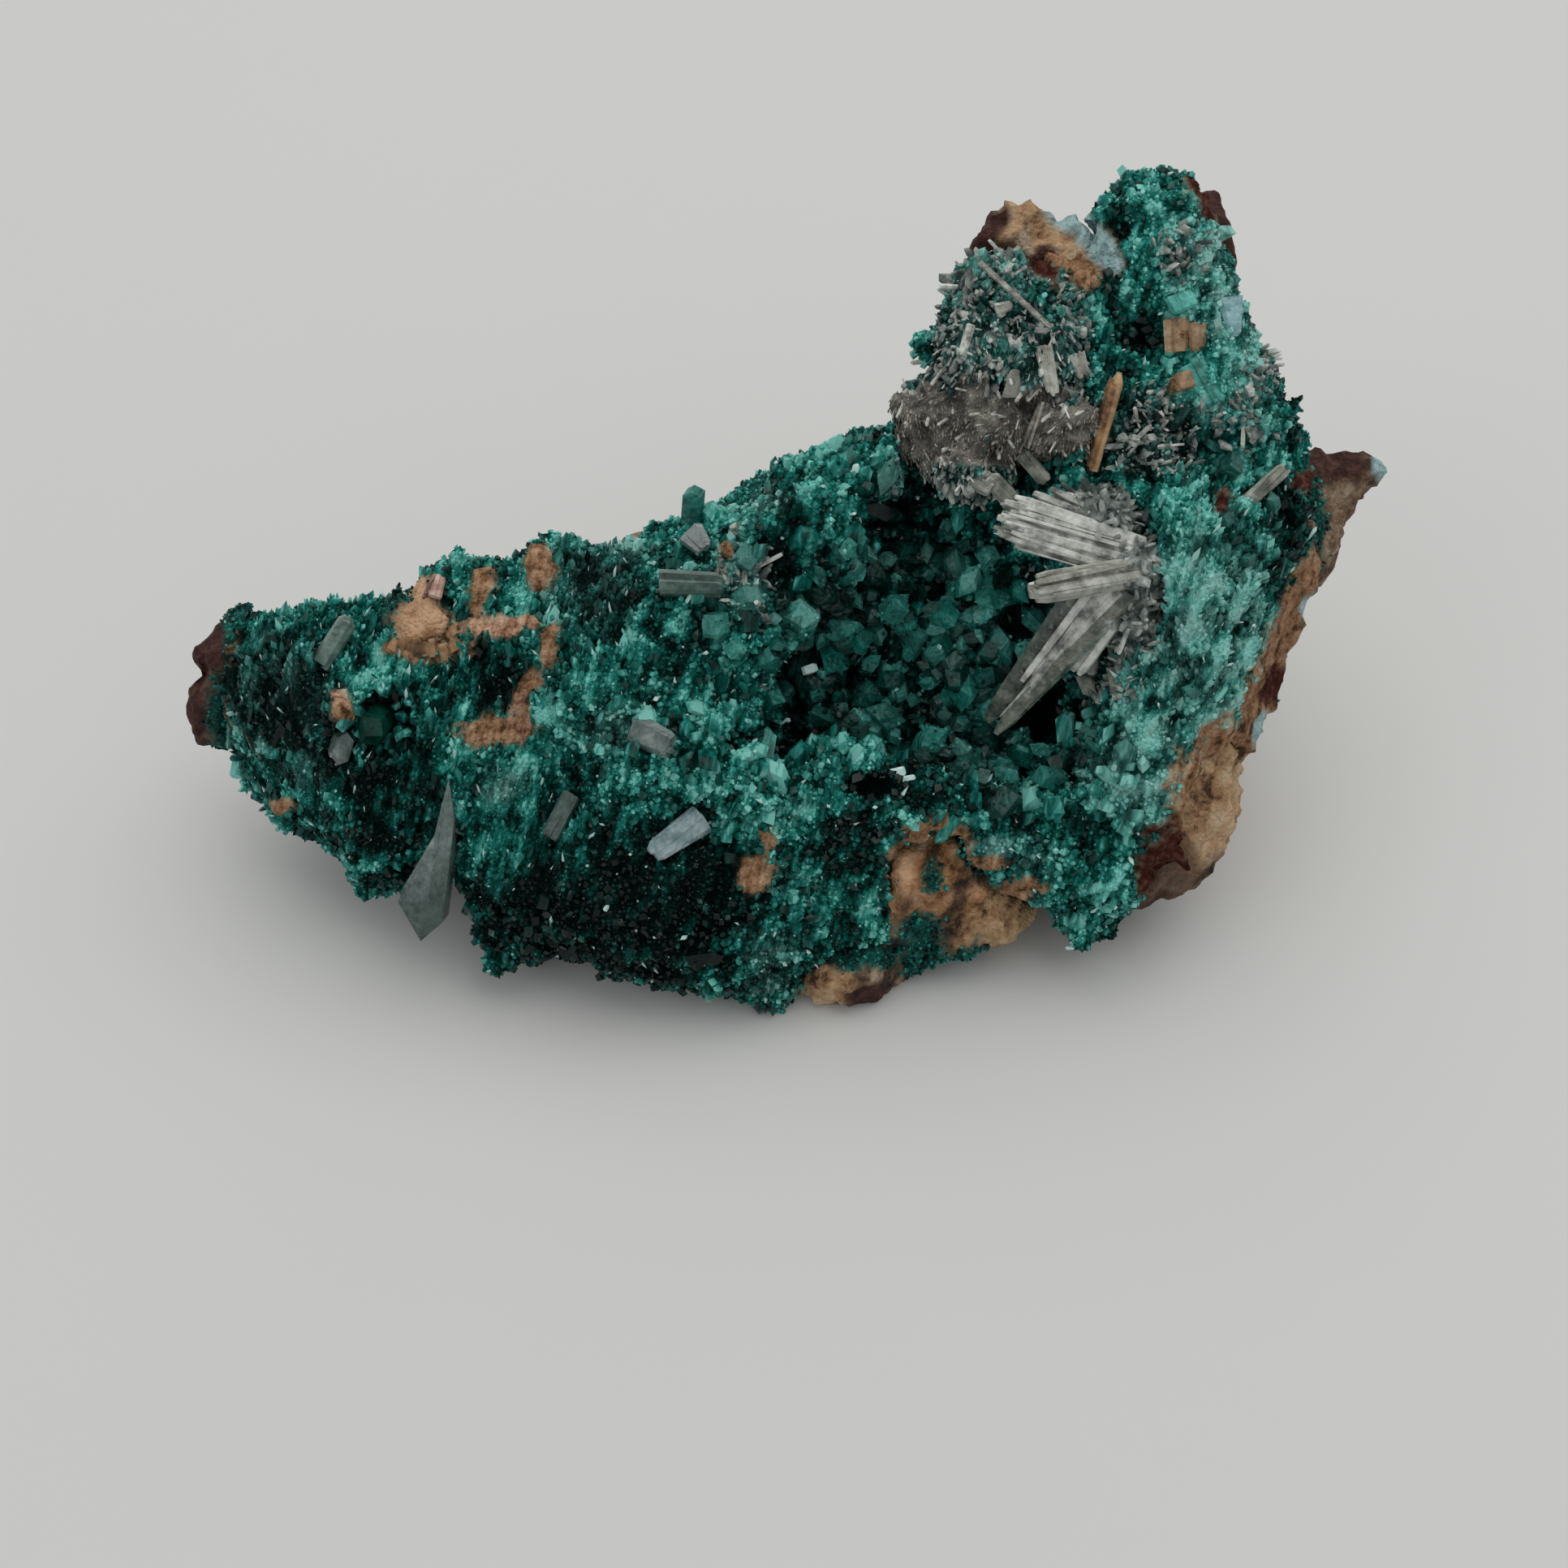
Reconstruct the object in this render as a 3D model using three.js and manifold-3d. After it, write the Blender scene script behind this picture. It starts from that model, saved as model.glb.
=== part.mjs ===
// Dioptase specimen, a hand piece about 80 mm across.
// Brown gossan rock carries a green druse on its leaning front face. Pale blades, needles and
// tablets of another mineral stand on the druse, and its hollow is lined with larger crystals.
// Millimetres, +Z up, +X to the viewer's right, the viewer on the -Y side.
import * as THREE from "three";
import { SimplexNoise } from "three/addons/math/SimplexNoise.js";
import { mergeVertices } from "three/addons/utils/BufferGeometryUtils.js";
import Module from "manifold-3d";

// Driving dimensions
const FACE_TILT = 47; // degrees that the crystal face leans back from the table
const FACE_FOOT = -16; // where the face's plane meets the table, front to back
const GAP = 0.3; // clearance left between two pieces that touch
const SKIN_GAP = 0.6; // the same around a knobbly skin, whose facets don't run quite side by side
const TABLE = 150; // size of the block that trims everything flat where the piece rests
const ROCK_RUGGED = 1.3; // how far knobs and pits depart from the lumps that a piece is heaped of
const SHOWING_RUGGED = 0.3;
const DRUSE_RUGGED = 0.8;
const CLUMP_RUGGED = 0.45;
const COARSE_KNOBS = 0.21; // knobs to a millimetre, the large ones and the small ones among them
const FINE_KNOBS = 0.55;
const FINE_SHARE = 0.7;
const ROCK_CELL = 5; // size of the facets on the rock, on the druse and on small clumps
const DRUSE_CELL = 2.8;
const CLUMP_CELL = 2.1;
const ROCK_FACE = -4.2; // depth of the rock's own surface below the face's plane, under the druse
const DRUSE_RADIUS = [0.6, 1.1]; // the druse's larger crystals, least and most
const DRUSE_REACH = [0.4, 1.1]; // how far they stand out of the crust
const DRUSE_ROOT = 2; // how deep they are rooted in it
const DRUSE_CLEAR = 0.96; // a place counts as open where it is outside this share of every lump
const DRUSE_LOW_EDGE = 4; // no crystal is placed nearer to the table than this, up the face
const TIP_ZIGZAG = 0.28; // a rhombohedral tip's rim rises and falls by this share of the radius
const FOOTPRINT_CENTRE = { x: -0.43, y: 4.96 }; // middle of the whole piece, which becomes the origin

const wasm = await Module();
wasm.setup();

// A repeatable random number from 0 to 1
function randomFrom(seed) {
  let state = seed;
  return () => {
    state = (state * 16807) % 2147483647;
    return state / 2147483647;
  };
}
const noise = new SimplexNoise({ random: randomFrom(8080) });
const knobNoise = ({ x, y, z }, rate) => noise.noise3d(rate * x, rate * y, rate * z);
const between = (random, [low, high]) => low + random() * (high - low);

// The face's own frame: u to the right, w up the slope, n out of the face
const tilt = THREE.MathUtils.degToRad(FACE_TILT);
const lean = new THREE.Quaternion().setFromAxisAngle(new THREE.Vector3(1, 0, 0), tilt);
const FACE_NORMAL = new THREE.Vector3(0, 0, 1).applyQuaternion(lean);

function onFace(u, w, n) {
  const point = new THREE.Vector3(u, w, n).applyQuaternion(lean);
  point.y += FACE_FOOT;
  return point;
}

// Joins and cuts
function solidOf(geometry) {
  const bare = geometry.clone();
  bare.deleteAttribute("normal");
  bare.deleteAttribute("uv");
  const merged = mergeVertices(bare, 1e-3);
  return new wasm.Manifold(
    new wasm.Mesh({
      numProp: 3,
      vertProperties: new Float32Array(merged.attributes.position.array),
      triVerts: new Uint32Array(merged.index.array),
    }),
  );
}

function join(geometries) {
  return geometries.map(solidOf).reduce((whole, next) => whole.add(next));
}

function largestBody(solid) {
  const bodies = solid.decompose();
  bodies.sort((a, b) => b.volume() - a.volume());
  return bodies[0];
}

function geometryOf(solid) {
  const { numProp, vertProperties, triVerts } = solid.getMesh();
  const corners = new Float32Array((vertProperties.length / numProp) * 3);
  for (let i = 0; i < corners.length / 3; i++)
    corners.set(vertProperties.subarray(i * numProp, i * numProp + 3), i * 3);
  const geometry = new THREE.BufferGeometry();
  geometry.setAttribute("position", new THREE.BufferAttribute(corners, 3));
  geometry.setIndex(new THREE.BufferAttribute(new Uint32Array(triVerts), 1));
  geometry.computeVertexNormals();
  return geometry;
}

function aboveTable(solid) {
  const slab = new THREE.BoxGeometry(TABLE, TABLE, TABLE);
  slab.translate(0, 0, -TABLE / 2);
  return solid.subtract(solidOf(slab));
}

// How far a point is outside an egg-shaped lump, below zero inside it
const inFrame = new THREE.Vector3();
const unlean = lean.clone().invert();

function outsideLump(point, { centre, size, tilted }) {
  inFrame.copy(point).sub(centre);
  if (tilted) inFrame.applyQuaternion(unlean);
  const far = inFrame.length();
  const share = Math.hypot(inFrame.x / size[0], inFrame.y / size[1], inFrame.z / size[2]);
  return share < 1e-6 ? -Math.min(...size) : far * (1 - 1 / share);
}

const faceLump = ([u, w, n, ...size]) => ({ centre: onFace(u, w, n), size, tilted: true });
const standingLump = ([x, y, z, ...size]) => ({
  centre: new THREE.Vector3(x, y, z),
  size,
  tilted: false,
});

// One closed skin around a heap of lumps, knobbly by ruggedness millimetres and swollen by grow.
// It is drawn on a lattice of cubes with one corner of the skin in each cube that it crosses. The
// lattice is the same for a swollen skin, so the clearance between the two stays even.
function skinOver(lumps, cell, ruggedness, grow = 0) {
  const box = new THREE.Box3();
  for (const { centre, size } of lumps) {
    const reach = new THREE.Vector3().setScalar(Math.max(...size) + 2 * cell + grow + ruggedness);
    box.expandByPoint(centre.clone().sub(reach));
    box.expandByPoint(centre.clone().add(reach));
  }
  box.min.divideScalar(cell).floor().multiplyScalar(cell);
  const span = box.getSize(new THREE.Vector3());
  const counts = [span.x, span.y, span.z].map((length) => Math.ceil(length / cell) + 1);
  const at = (i, j, k) => (k * counts[1] + j) * counts[0] + i;
  const values = new Float32Array(counts[0] * counts[1] * counts[2]);
  const point = new THREE.Vector3();
  for (let k = 0; k < counts[2]; k++)
    for (let j = 0; j < counts[1]; j++)
      for (let i = 0; i < counts[0]; i++) {
        point.set(i, j, k).multiplyScalar(cell).add(box.min);
        const nearest = Math.min(...lumps.map((one) => outsideLump(point, one)));
        const knobs = knobNoise(point, COARSE_KNOBS) + FINE_SHARE * knobNoise(point, FINE_KNOBS);
        values[at(i, j, k)] = nearest - grow + ruggedness * knobs;
      }
  openPinches(values, counts, at);
  return skinThrough(values, counts, at, cell, box.min);
}

// The two lattice directions across each direction
const ACROSS = [[1, 2], [2, 0], [0, 1]];

// Fills a corner wherever only opposite corners of a square are inside, so no edge is shared by four faces
function openPinches(values, counts, at) {
  const step = [1, counts[0], counts[0] * counts[1]];
  let changed = true;
  while (changed) {
    changed = false;
    for (let k = 0; k < counts[2] - 1; k++)
      for (let j = 0; j < counts[1] - 1; j++)
        for (let i = 0; i < counts[0] - 1; i++)
          for (const [a, b] of ACROSS) {
            const corner = at(i, j, k);
            const ring = [corner, corner + step[a], corner + step[a] + step[b], corner + step[b]];
            const inside = ring.map((index) => values[index] < 0);
            if (inside[0] !== inside[2] || inside[1] !== inside[3] || inside[0] === inside[1]) continue;
            values[inside[0] ? ring[1] : ring[0]] = -0.05;
            changed = true;
          }
  }
}

function skinThrough(values, counts, at, cell, low) {
  const step = [1, counts[0], counts[0] * counts[1]];
  const corners = [];
  const cornerOf = new Map();
  for (let k = 0; k < counts[2] - 1; k++)
    for (let j = 0; j < counts[1] - 1; j++)
      for (let i = 0; i < counts[0] - 1; i++) {
        const middle = new THREE.Vector3();
        let crossings = 0;
        for (let direction = 0; direction < 3; direction++) {
          const [a, b] = ACROSS[direction];
          for (let side = 0; side < 4; side++) {
            const start = [i, j, k];
            start[a] += side & 1;
            start[b] += side >> 1;
            const from = values[at(...start)];
            const to = values[at(...start) + step[direction]];
            if (from < 0 === to < 0) continue;
            start[direction] += from / (from - to);
            middle.add(new THREE.Vector3(...start));
            crossings += 1;
          }
        }
        if (!crossings) continue;
        cornerOf.set(at(i, j, k), corners.length);
        corners.push(middle.multiplyScalar(cell / crossings).add(low));
      }
  const faces = [];
  for (let k = 1; k < counts[2] - 1; k++)
    for (let j = 1; j < counts[1] - 1; j++)
      for (let i = 1; i < counts[0] - 1; i++)
        for (let direction = 0; direction < 3; direction++) {
          const here = at(i, j, k);
          const inside = values[here] < 0;
          if (inside === values[here + step[direction]] < 0) continue;
          const [a, b] = ACROSS[direction];
          const ring = [here - step[a] - step[b], here - step[b], here, here - step[a]];
          const [p, q, r, t] = ring.map((index) => cornerOf.get(index));
          faces.push(...(inside ? [p, q, r, p, r, t] : [p, r, q, p, t, r]));
        }
  const geometry = new THREE.BufferGeometry().setFromPoints(corners);
  geometry.setIndex(faces);
  return solidOf(geometry);
}

// A six-sided crystal with a blunt three-faced tip, rooted at foot and pointing along axis
function hexagonalCrystal(foot, axis, radius, length, grow = 0) {
  const r = radius + grow;
  const shoulder = length + grow;
  const profile = [
    new THREE.Vector2(0, -grow),
    new THREE.Vector2(r, -grow),
    new THREE.Vector2(r, shoulder),
    new THREE.Vector2(0, shoulder + 0.55 * r),
  ];
  const crystal = new THREE.LatheGeometry(profile, 6);
  const place = crystal.attributes.position;
  for (let i = 0; i < place.count; i++) {
    if (Math.abs(place.getY(i) - shoulder) > 1e-6) continue;
    const side = Math.round(Math.atan2(place.getX(i), place.getZ(i)) / (Math.PI / 3));
    const rise = Math.abs(side) % 2 === 0 ? TIP_ZIGZAG : -TIP_ZIGZAG;
    place.setY(i, shoulder + rise * r);
  }
  const turn = new THREE.Quaternion().setFromUnitVectors(new THREE.Vector3(0, 1, 0), axis);
  crystal.applyQuaternion(turn);
  crystal.translate(foot.x, foot.y, foot.z);
  return crystal;
}

// A flat lath from root to tip, wide across the line of sight, narrowing to share of its width
function lath(root, tip, width, thickness, { share = 1, grow = 0 } = {}) {
  const along = tip.clone().sub(root);
  const length = along.length();
  along.normalize();
  const across = new THREE.Vector3().crossVectors(along, FACE_NORMAL).normalize();
  const out = new THREE.Vector3().crossVectors(across, along).normalize();
  const bar = new THREE.BoxGeometry(width + 2 * grow, length + 2 * grow, thickness + 2 * grow);
  bar.translate(0, length / 2, 0);
  const place = bar.attributes.position;
  for (let i = 0; i < place.count; i++) {
    if (place.getY(i) < length / 2) continue;
    place.setX(i, place.getX(i) * share);
    place.setZ(i, place.getZ(i) * share);
  }
  bar.applyMatrix4(new THREE.Matrix4().makeBasis(across, along, out));
  bar.translate(root.x, root.y, root.z);
  return bar;
}

// Rock

// Big lumps of the rock behind the crystal face: centre, then half sizes, in the standing frame
const ROCK_BODY = [
  [-35.5, 3.5, 12, 3.4, 4.4, 4.4],
  [-29, 4.5, 10.8, 6, 6, 6.2],
  [-22, 5.5, 9.6, 8, 7.5, 7.8],
  [-14, 6, 8.6, 9, 9.5, 9.8],
  [-5, 7, 8.8, 10, 12, 12],
  [4, 9, 11, 11, 13, 14],
  [13, 10, 12, 11, 14, 16],
  [22, 11, 12, 8.5, 13, 15],
  [3, -6.5, 2.5, 11, 6, 4],
  [16, 20.5, 24, 5, 4.8, 11.5],
  [16.4, 22.4, 29.6, 4.4, 3.4, 6.6],
  [24, 21, 26, 6.2, 4.8, 12.5],
  [28.4, 10, 16, 4.8, 8.5, 9.5],
  [23.5, 0, 5, 5, 8, 6],
];

// Rock that shows through or beside the druse: centre, then half sizes, in the face's frame
const ROCK_SHOWING = [
  [-37, 26.3, -4.8, 2.2, 2.6, 3],
  [-38.5, 21, -4.8, 2.5, 3.6, 3],
  [-23.2, 27, -3, 2.5, 2.6, 4.6],
  [9.4, 10.6, -2, 3.2, 4, 6.2],
  [14, 7, -3.4, 3.8, 2.9, 4.4],
  [4.4, 3.2, -4.4, 4.8, 2.8, 6.4],
  [26.6, 15.6, -2.8, 4.2, 6.6, 5],
  [24.8, 10.8, -2.8, 3.6, 3.2, 4.4],
  [34.2, 31.6, -4.2, 2.9, 4.6, 3.6],
  [31, 24.6, -4.8, 2.5, 4.8, 3.8],
  [34.6, 36, -3.8, 3, 2.4, 2.8],
  [37.6, 36.7, -3.6, 2.6, 2.2, 2.4],
  [26.9, 52.7, -4.8, 2.3, 2.6, 3],
  [28.6, 49.6, -5.2, 2, 3, 3.2],
];

// The bent band of ochre rock that caps the left knob of the tower, drawn in the face's plane
const KNOB_OUTLINE = [
  [12.2, 51.2],
  [13.2, 52.9],
  [15.4, 53.5],
  [18.8, 51.8],
  [20, 50],
  [19.8, 48.2],
  [18.2, 47.8],
  [14.8, 51],
];
const KNOB_FRONT = -1.4; // level of its flat front, out of the face
const KNOB_DEPTH = 4.6;

// An outline's corners, in clockwise order, moved outwards so that every side moves by grow
function grownOutline(outline, grow) {
  const points = outline.map(([x, y]) => new THREE.Vector2(x, y));
  const outwards = points.map((point, i) => {
    const side = points[(i + 1) % points.length].clone().sub(point).normalize();
    return new THREE.Vector2(-side.y, side.x);
  });
  return points.map((point, i) => {
    const before = outwards.at(i - 1);
    const share = grow / (1 + before.dot(outwards[i]));
    return point.clone().addScaledVector(before, share).addScaledVector(outwards[i], share);
  });
}

function knobBand(grow) {
  const shape = new THREE.Shape(grownOutline(KNOB_OUTLINE, grow));
  const depth = KNOB_DEPTH + 2 * grow;
  const band = new THREE.ExtrudeGeometry(shape, { depth, bevelEnabled: false });
  band.translate(0, 0, KNOB_FRONT - KNOB_DEPTH - grow);
  band.applyQuaternion(lean);
  band.translate(0, FACE_FOOT, 0);
  return solidOf(band);
}

// Everything in front of a depth below the face's plane
function inFrontOf(depth) {
  const slab = new THREE.BoxGeometry(TABLE, TABLE, TABLE);
  slab.translate(0, 0, depth + TABLE / 2);
  slab.applyQuaternion(lean);
  slab.translate(0, FACE_FOOT, 0);
  return solidOf(slab);
}

// The bowl under the druse's hollow: centre, then half sizes, in the face's frame
const BOWL = [
  [8, 25.4, -4, 8.6, 7.6, 6],
  [14.4, 21, -4, 6.2, 5.6, 5.2],
];
const BOWL_CELL = 4;
const BOWL_RUGGED = 0.5;

function bowl(grow) {
  return skinOver(BOWL.map(faceLump), BOWL_CELL, BOWL_RUGGED, grow);
}

function rockShowing(grow = 0) {
  const skin = skinOver(ROCK_SHOWING.map(faceLump), DRUSE_CELL, SHOWING_RUGGED, grow);
  return skin.add(knobBand(grow));
}

function rockSolid() {
  const body = skinOver(ROCK_BODY.map(standingLump), ROCK_CELL, ROCK_RUGGED);
  return body.subtract(inFrontOf(ROCK_FACE)).add(rockShowing());
}

// Druse

// Lumps of the green crust: centre, then half sizes, in the face's frame
const DRUSE_LUMPS = [
  // left arm, tip to root
  [-35, 22.2, -3.8, 3.8, 6.2, 4.2],
  [-31, 21, -3, 5.4, 7.6, 4.8],
  [-25.5, 17.6, -2.2, 6.2, 8.4, 5.4],
  [-29, 26, -3.8, 6.8, 3, 3.6],
  [-26, 12.4, -2.8, 5, 4.8, 4],
  [-31.4, 15.4, -3.6, 4.8, 4, 3.5],
  [-21.8, 29.4, -3.6, 3.2, 2.7, 3.4],
  // two bumps on the arm's upper edge, and the swelling below them
  [-17.8, 28, -3.8, 3, 2.6, 3.2],
  [-13.8, 30.2, -3, 3.8, 3.3, 4],
  [-17.5, 24, -2.2, 6, 5.2, 4.8],
  [-19.5, 16.5, -1.6, 5, 5.6, 4.6],
  // lower front lumps
  [-17.4, 10.2, -1, 4.4, 5.8, 4.8],
  [-17.4, 5, -1.8, 2.8, 3, 2.8],
  [-10.4, 10.2, 0.6, 6.6, 6.8, 5.6],
  [-11, 5.4, -1.4, 4, 3, 3],
  [-5, 5.8, -0.6, 5.8, 4.6, 4.6],
  [-0.4, 7.8, -0.4, 4.2, 5.8, 4.4],
  [-0.4, 2.2, -1.2, 2.8, 2.8, 2.6],
  [6.2, 7.6, -1.4, 4, 3.4, 3.2],
  [10.6, 5, -1.6, 2.6, 2.8, 2.8],
  [9.4, 12, -1.6, 4.4, 4.6, 4],
  [15.6, 12.6, -1, 4.6, 4, 4],
  [21, 12, 0, 5.2, 4.8, 4.4],
  [19.8, 8.2, -1.2, 3.6, 2.8, 3],
  // upper left shoulder
  [-11.2, 22.6, 0.6, 4.8, 5.2, 4.8],
  [-7.2, 27, 0.2, 5, 5, 4.8],
  [-4.6, 32, -2.2, 4.6, 2.8, 3.6],
  [-3, 27.4, 0.2, 3.4, 4.2, 4.2],
  // crest left of the hollow
  [1.6, 34.2, -0.4, 4, 4.6, 4.6],
  [5.4, 36.2, -1.6, 3.6, 3.2, 3.6],
  [3, 30.6, -2, 3, 3.4, 3.6],
  // bright ledge below the hollow
  [-9.6, 17.4, 2, 4.4, 3, 3.6],
  [-3.4, 17.6, 2.2, 4.2, 2.8, 3.6],
  [3.4, 17.2, 2.4, 4.4, 2.6, 3.6],
  [9.4, 15.8, 0.8, 4, 2.6, 3.2],
  [-3, 12.8, 1, 5, 4, 3.4],
  [3.2, 12.8, 0.2, 4, 4, 3.4],
  // thin floor around the hollow
  [8.5, 25.2, -4.6, 13.4, 12.6, 3.6],
  [-4.4, 21.4, -1.8, 4, 3.6, 3.2],
  [17.5, 22, -4.6, 7, 8, 3.4],
  // long flank right of the hollow
  [22.8, 18.2, 1, 4.2, 6, 4.6],
  [26.2, 25.2, 1.8, 4.2, 6.8, 5],
  [25.4, 32, 2.4, 3.6, 5, 4.4],
  [30.6, 31, -0.8, 4.2, 6, 4.4],
  [30.4, 24, -2.2, 3, 6, 4],
  [26.4, 19.6, -1.6, 3, 4, 3.8],
  [32.4, 36, -2.8, 3.2, 2.8, 3.2],
  [17.6, 14.6, -2, 4.4, 4, 4],
  // shoulder under the tower
  [11, 38.6, -1.6, 4.6, 3.6, 3.8],
  [17, 38, -0.8, 5, 4.2, 4],
  [21.4, 34.6, -0.4, 4.4, 3.8, 4.4],
  [20.6, 40, -0.8, 4, 4, 4],
  // tower
  [13.4, 45.2, -1.8, 4.4, 5.2, 4.6],
  [18.4, 44.6, -1.6, 4.4, 5, 4.6],
  [14.2, 49.4, -3, 3.4, 2.8, 3.8],
  [23.6, 51.8, -2.4, 4.7, 4.4, 4.6],
  [25, 46.2, -1.8, 4.5, 5.4, 4.6],
  [28, 40.8, -1, 4.8, 4.8, 4.4],
  [31.6, 37.8, -2.8, 3.6, 3.4, 3.6],
  [20.8, 48, -3, 3.6, 2.8, 3.4],
];

// A crystal on each lump where no other lump covers it
function druseCrystals() {
  const random = randomFrom(5);
  const crystals = [];
  for (const [u, w, n, ...size] of DRUSE_LUMPS) {
    const turn = 2 * Math.PI * random();
    const height = between(random, [0.15, 1]);
    const level = Math.sqrt(1 - height * height);
    const out = [level * Math.cos(turn), level * Math.sin(turn), height];
    const radius = between(random, DRUSE_RADIUS);
    const reach = between(random, DRUSE_REACH);
    const spot = [u + out[0] * size[0], w + out[1] * size[1], n + out[2] * size[2]];
    const covered = DRUSE_LUMPS.some(([cu, cw, cn, ...half]) => {
      const away = [spot[0] - cu, spot[1] - cw, spot[2] - cn];
      return Math.hypot(away[0] / half[0], away[1] / half[1], away[2] / half[2]) < DRUSE_CLEAR;
    });
    if (covered || spot[1] < DRUSE_LOW_EDGE) continue;
    const axis = new THREE.Vector3(out[0] / size[0], out[1] / size[1], out[2] / size[2])
      .normalize()
      .applyQuaternion(lean);
    const foot = onFace(...spot).addScaledVector(axis, -DRUSE_ROOT);
    crystals.push(hexagonalCrystal(foot, axis, radius, DRUSE_ROOT + reach));
  }
  return crystals;
}

// Pale minerals and single crystals on the druse

// The spray of striated blades right of the hollow, with the granular clump they grow from
const SPRAY_CLUMP = [
  [21.6, 30.4, 3.2, 2.6, 2.6, 2.4],
  [19.6, 33.8, 2.6, 2.8, 2.4, 2.4],
  [22.2, 27.4, 2.6, 2, 2.4, 2.2],
];

// Its blades: root, tip, width, thickness and how much they narrow
const SPRAY_BLADES = [
  [[22, 31.2, 3.6], [13, 33.9, 6.6], 2.8, 1.3, 0.8],
  [[21.5, 32.6, 3.4], [15.4, 35.4, 4.6], 1.4, 1, 0.8],
  [[22.6, 30.6, 4.4], [14.9, 29.6, 7.4], 1.7, 1.2, 0.8],
  [[20.6, 30.4, 5], [13.6, 20.2, 0.4], 2.5, 1.2, 0.6],
  [[20.5, 28, 4], [18.2, 24, 1.4], 1.4, 1, 0.8],
];

function bladeSpray(grow = 0) {
  const blades = SPRAY_BLADES.map(([root, tip, width, thickness, share]) =>
    lath(onFace(...root), onFace(...tip), width, thickness, { share, grow }),
  );
  return join(blades).add(skinOver(SPRAY_CLUMP.map(faceLump), CLUMP_CELL, CLUMP_RUGGED, grow));
}

// The grey granular clump on the tower's left shoulder and the blades that stand in it
const THICKET_CLUMP = [
  [9.4, 40, 0.4, 2.8, 2.4, 3],
  [13, 39.6, 1.2, 3.2, 2.8, 3.2],
  [17.4, 39.6, 1.4, 2.8, 2.6, 3],
  [11.6, 36.8, 1.2, 2.8, 2.2, 2.8],
  [16.2, 43.6, 0.8, 2.6, 2.6, 3],
  [12.4, 43.4, 0.6, 2.2, 2.4, 2.8],
];
const THICKET_HUBS = [
  [13, 40, 2],
  [16.8, 40, 2.4],
  [16.4, 43.6, 1.8],
  [12.6, 43.4, 1.4],
  [12, 37.4, 2],
];
const HUB_BLADES = 2;
const HUB_REACH = [2.2, 3.4]; // how far the blades reach across the face, and how far out of it
const HUB_RISE = [1, 2.4];
const HUB_WIDTH = [0.8, 1.3];
const HUB_THICKNESS = 0.7;

function greyThicket(grow = 0) {
  const random = randomFrom(4242);
  const blades = THICKET_HUBS.flatMap(([u, w, n]) =>
    Array.from({ length: HUB_BLADES }, () => {
      const turn = 2 * Math.PI * random();
      const reach = between(random, HUB_REACH);
      const rise = between(random, HUB_RISE);
      const tip = onFace(u + reach * Math.cos(turn), w + reach * Math.sin(turn), n + rise);
      return lath(onFace(u, w, n), tip, between(random, HUB_WIDTH), HUB_THICKNESS, { grow });
    }),
  );
  return join(blades).add(skinOver(THICKET_CLUMP.map(faceLump), CLUMP_CELL, CLUMP_RUGGED, grow));
}

// The crust that lines the bowl, and the large crystals that stand on it
const LINING = 1.7;
const LINING_RIM = -1.9;
const HOLLOW_CRYSTALS = [
  // foot u w n, then how far the axis leans in u and w, radius and length
  [1.6, 27.4, -6.4, 0.05, 0.3, 1.5, 5.8],
  [2.6, 22.8, -7, -0.05, -0.2, 1.4, 5.8],
  [4.8, 25.4, -8, 0.1, 0.1, 1.7, 7.2],
  [6, 29.6, -7.4, 0, 0.35, 1.6, 6.4],
  [7.4, 21.4, -8, -0.2, -0.15, 1.6, 6.2],
  [8.4, 25.6, -8.6, 0.05, 0.05, 1.9, 8.4],
  [10, 30, -7.4, 0.15, 0.2, 1.7, 6],
  [12.2, 22.6, -8.4, 0.15, 0, 1.7, 6.8],
  [12.6, 27, -7.8, 0.25, 0.15, 1.7, 6.4],
  [13, 18.6, -7.4, 0, -0.25, 1.5, 5.6],
  [17, 20.4, -7.4, 0.3, -0.1, 1.5, 5],
];

function standingInHollow(grow) {
  const crystals = HOLLOW_CRYSTALS.map(([u, w, n, leanU, leanW, radius, length]) => {
    const axis = new THREE.Vector3(leanU, leanW, 1).normalize().applyQuaternion(lean);
    return hexagonalCrystal(onFace(u, w, n), axis, radius, length, grow);
  });
  return join(crystals).intersect(bowl(grow).add(inFrontOf(LINING_RIM)));
}

function hollowCrystals() {
  const cup = bowl(0).subtract(bowl(-LINING)).subtract(inFrontOf(LINING_RIM));
  return cup.add(standingInHollow(0));
}

// The long clear wedge at the lower left, with its broad end down
const WEDGE = { top: [-21.6, 17.2, 1.4], foot: [-23.2, 7.2, 1.2], width: 3, thickness: 2.2, share: 0.2 };

function leftWedge(grow = 0) {
  const { top, foot, width, thickness, share } = WEDGE;
  return solidOf(lath(onFace(...foot), onFace(...top), width, thickness, { share, grow }));
}

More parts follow.
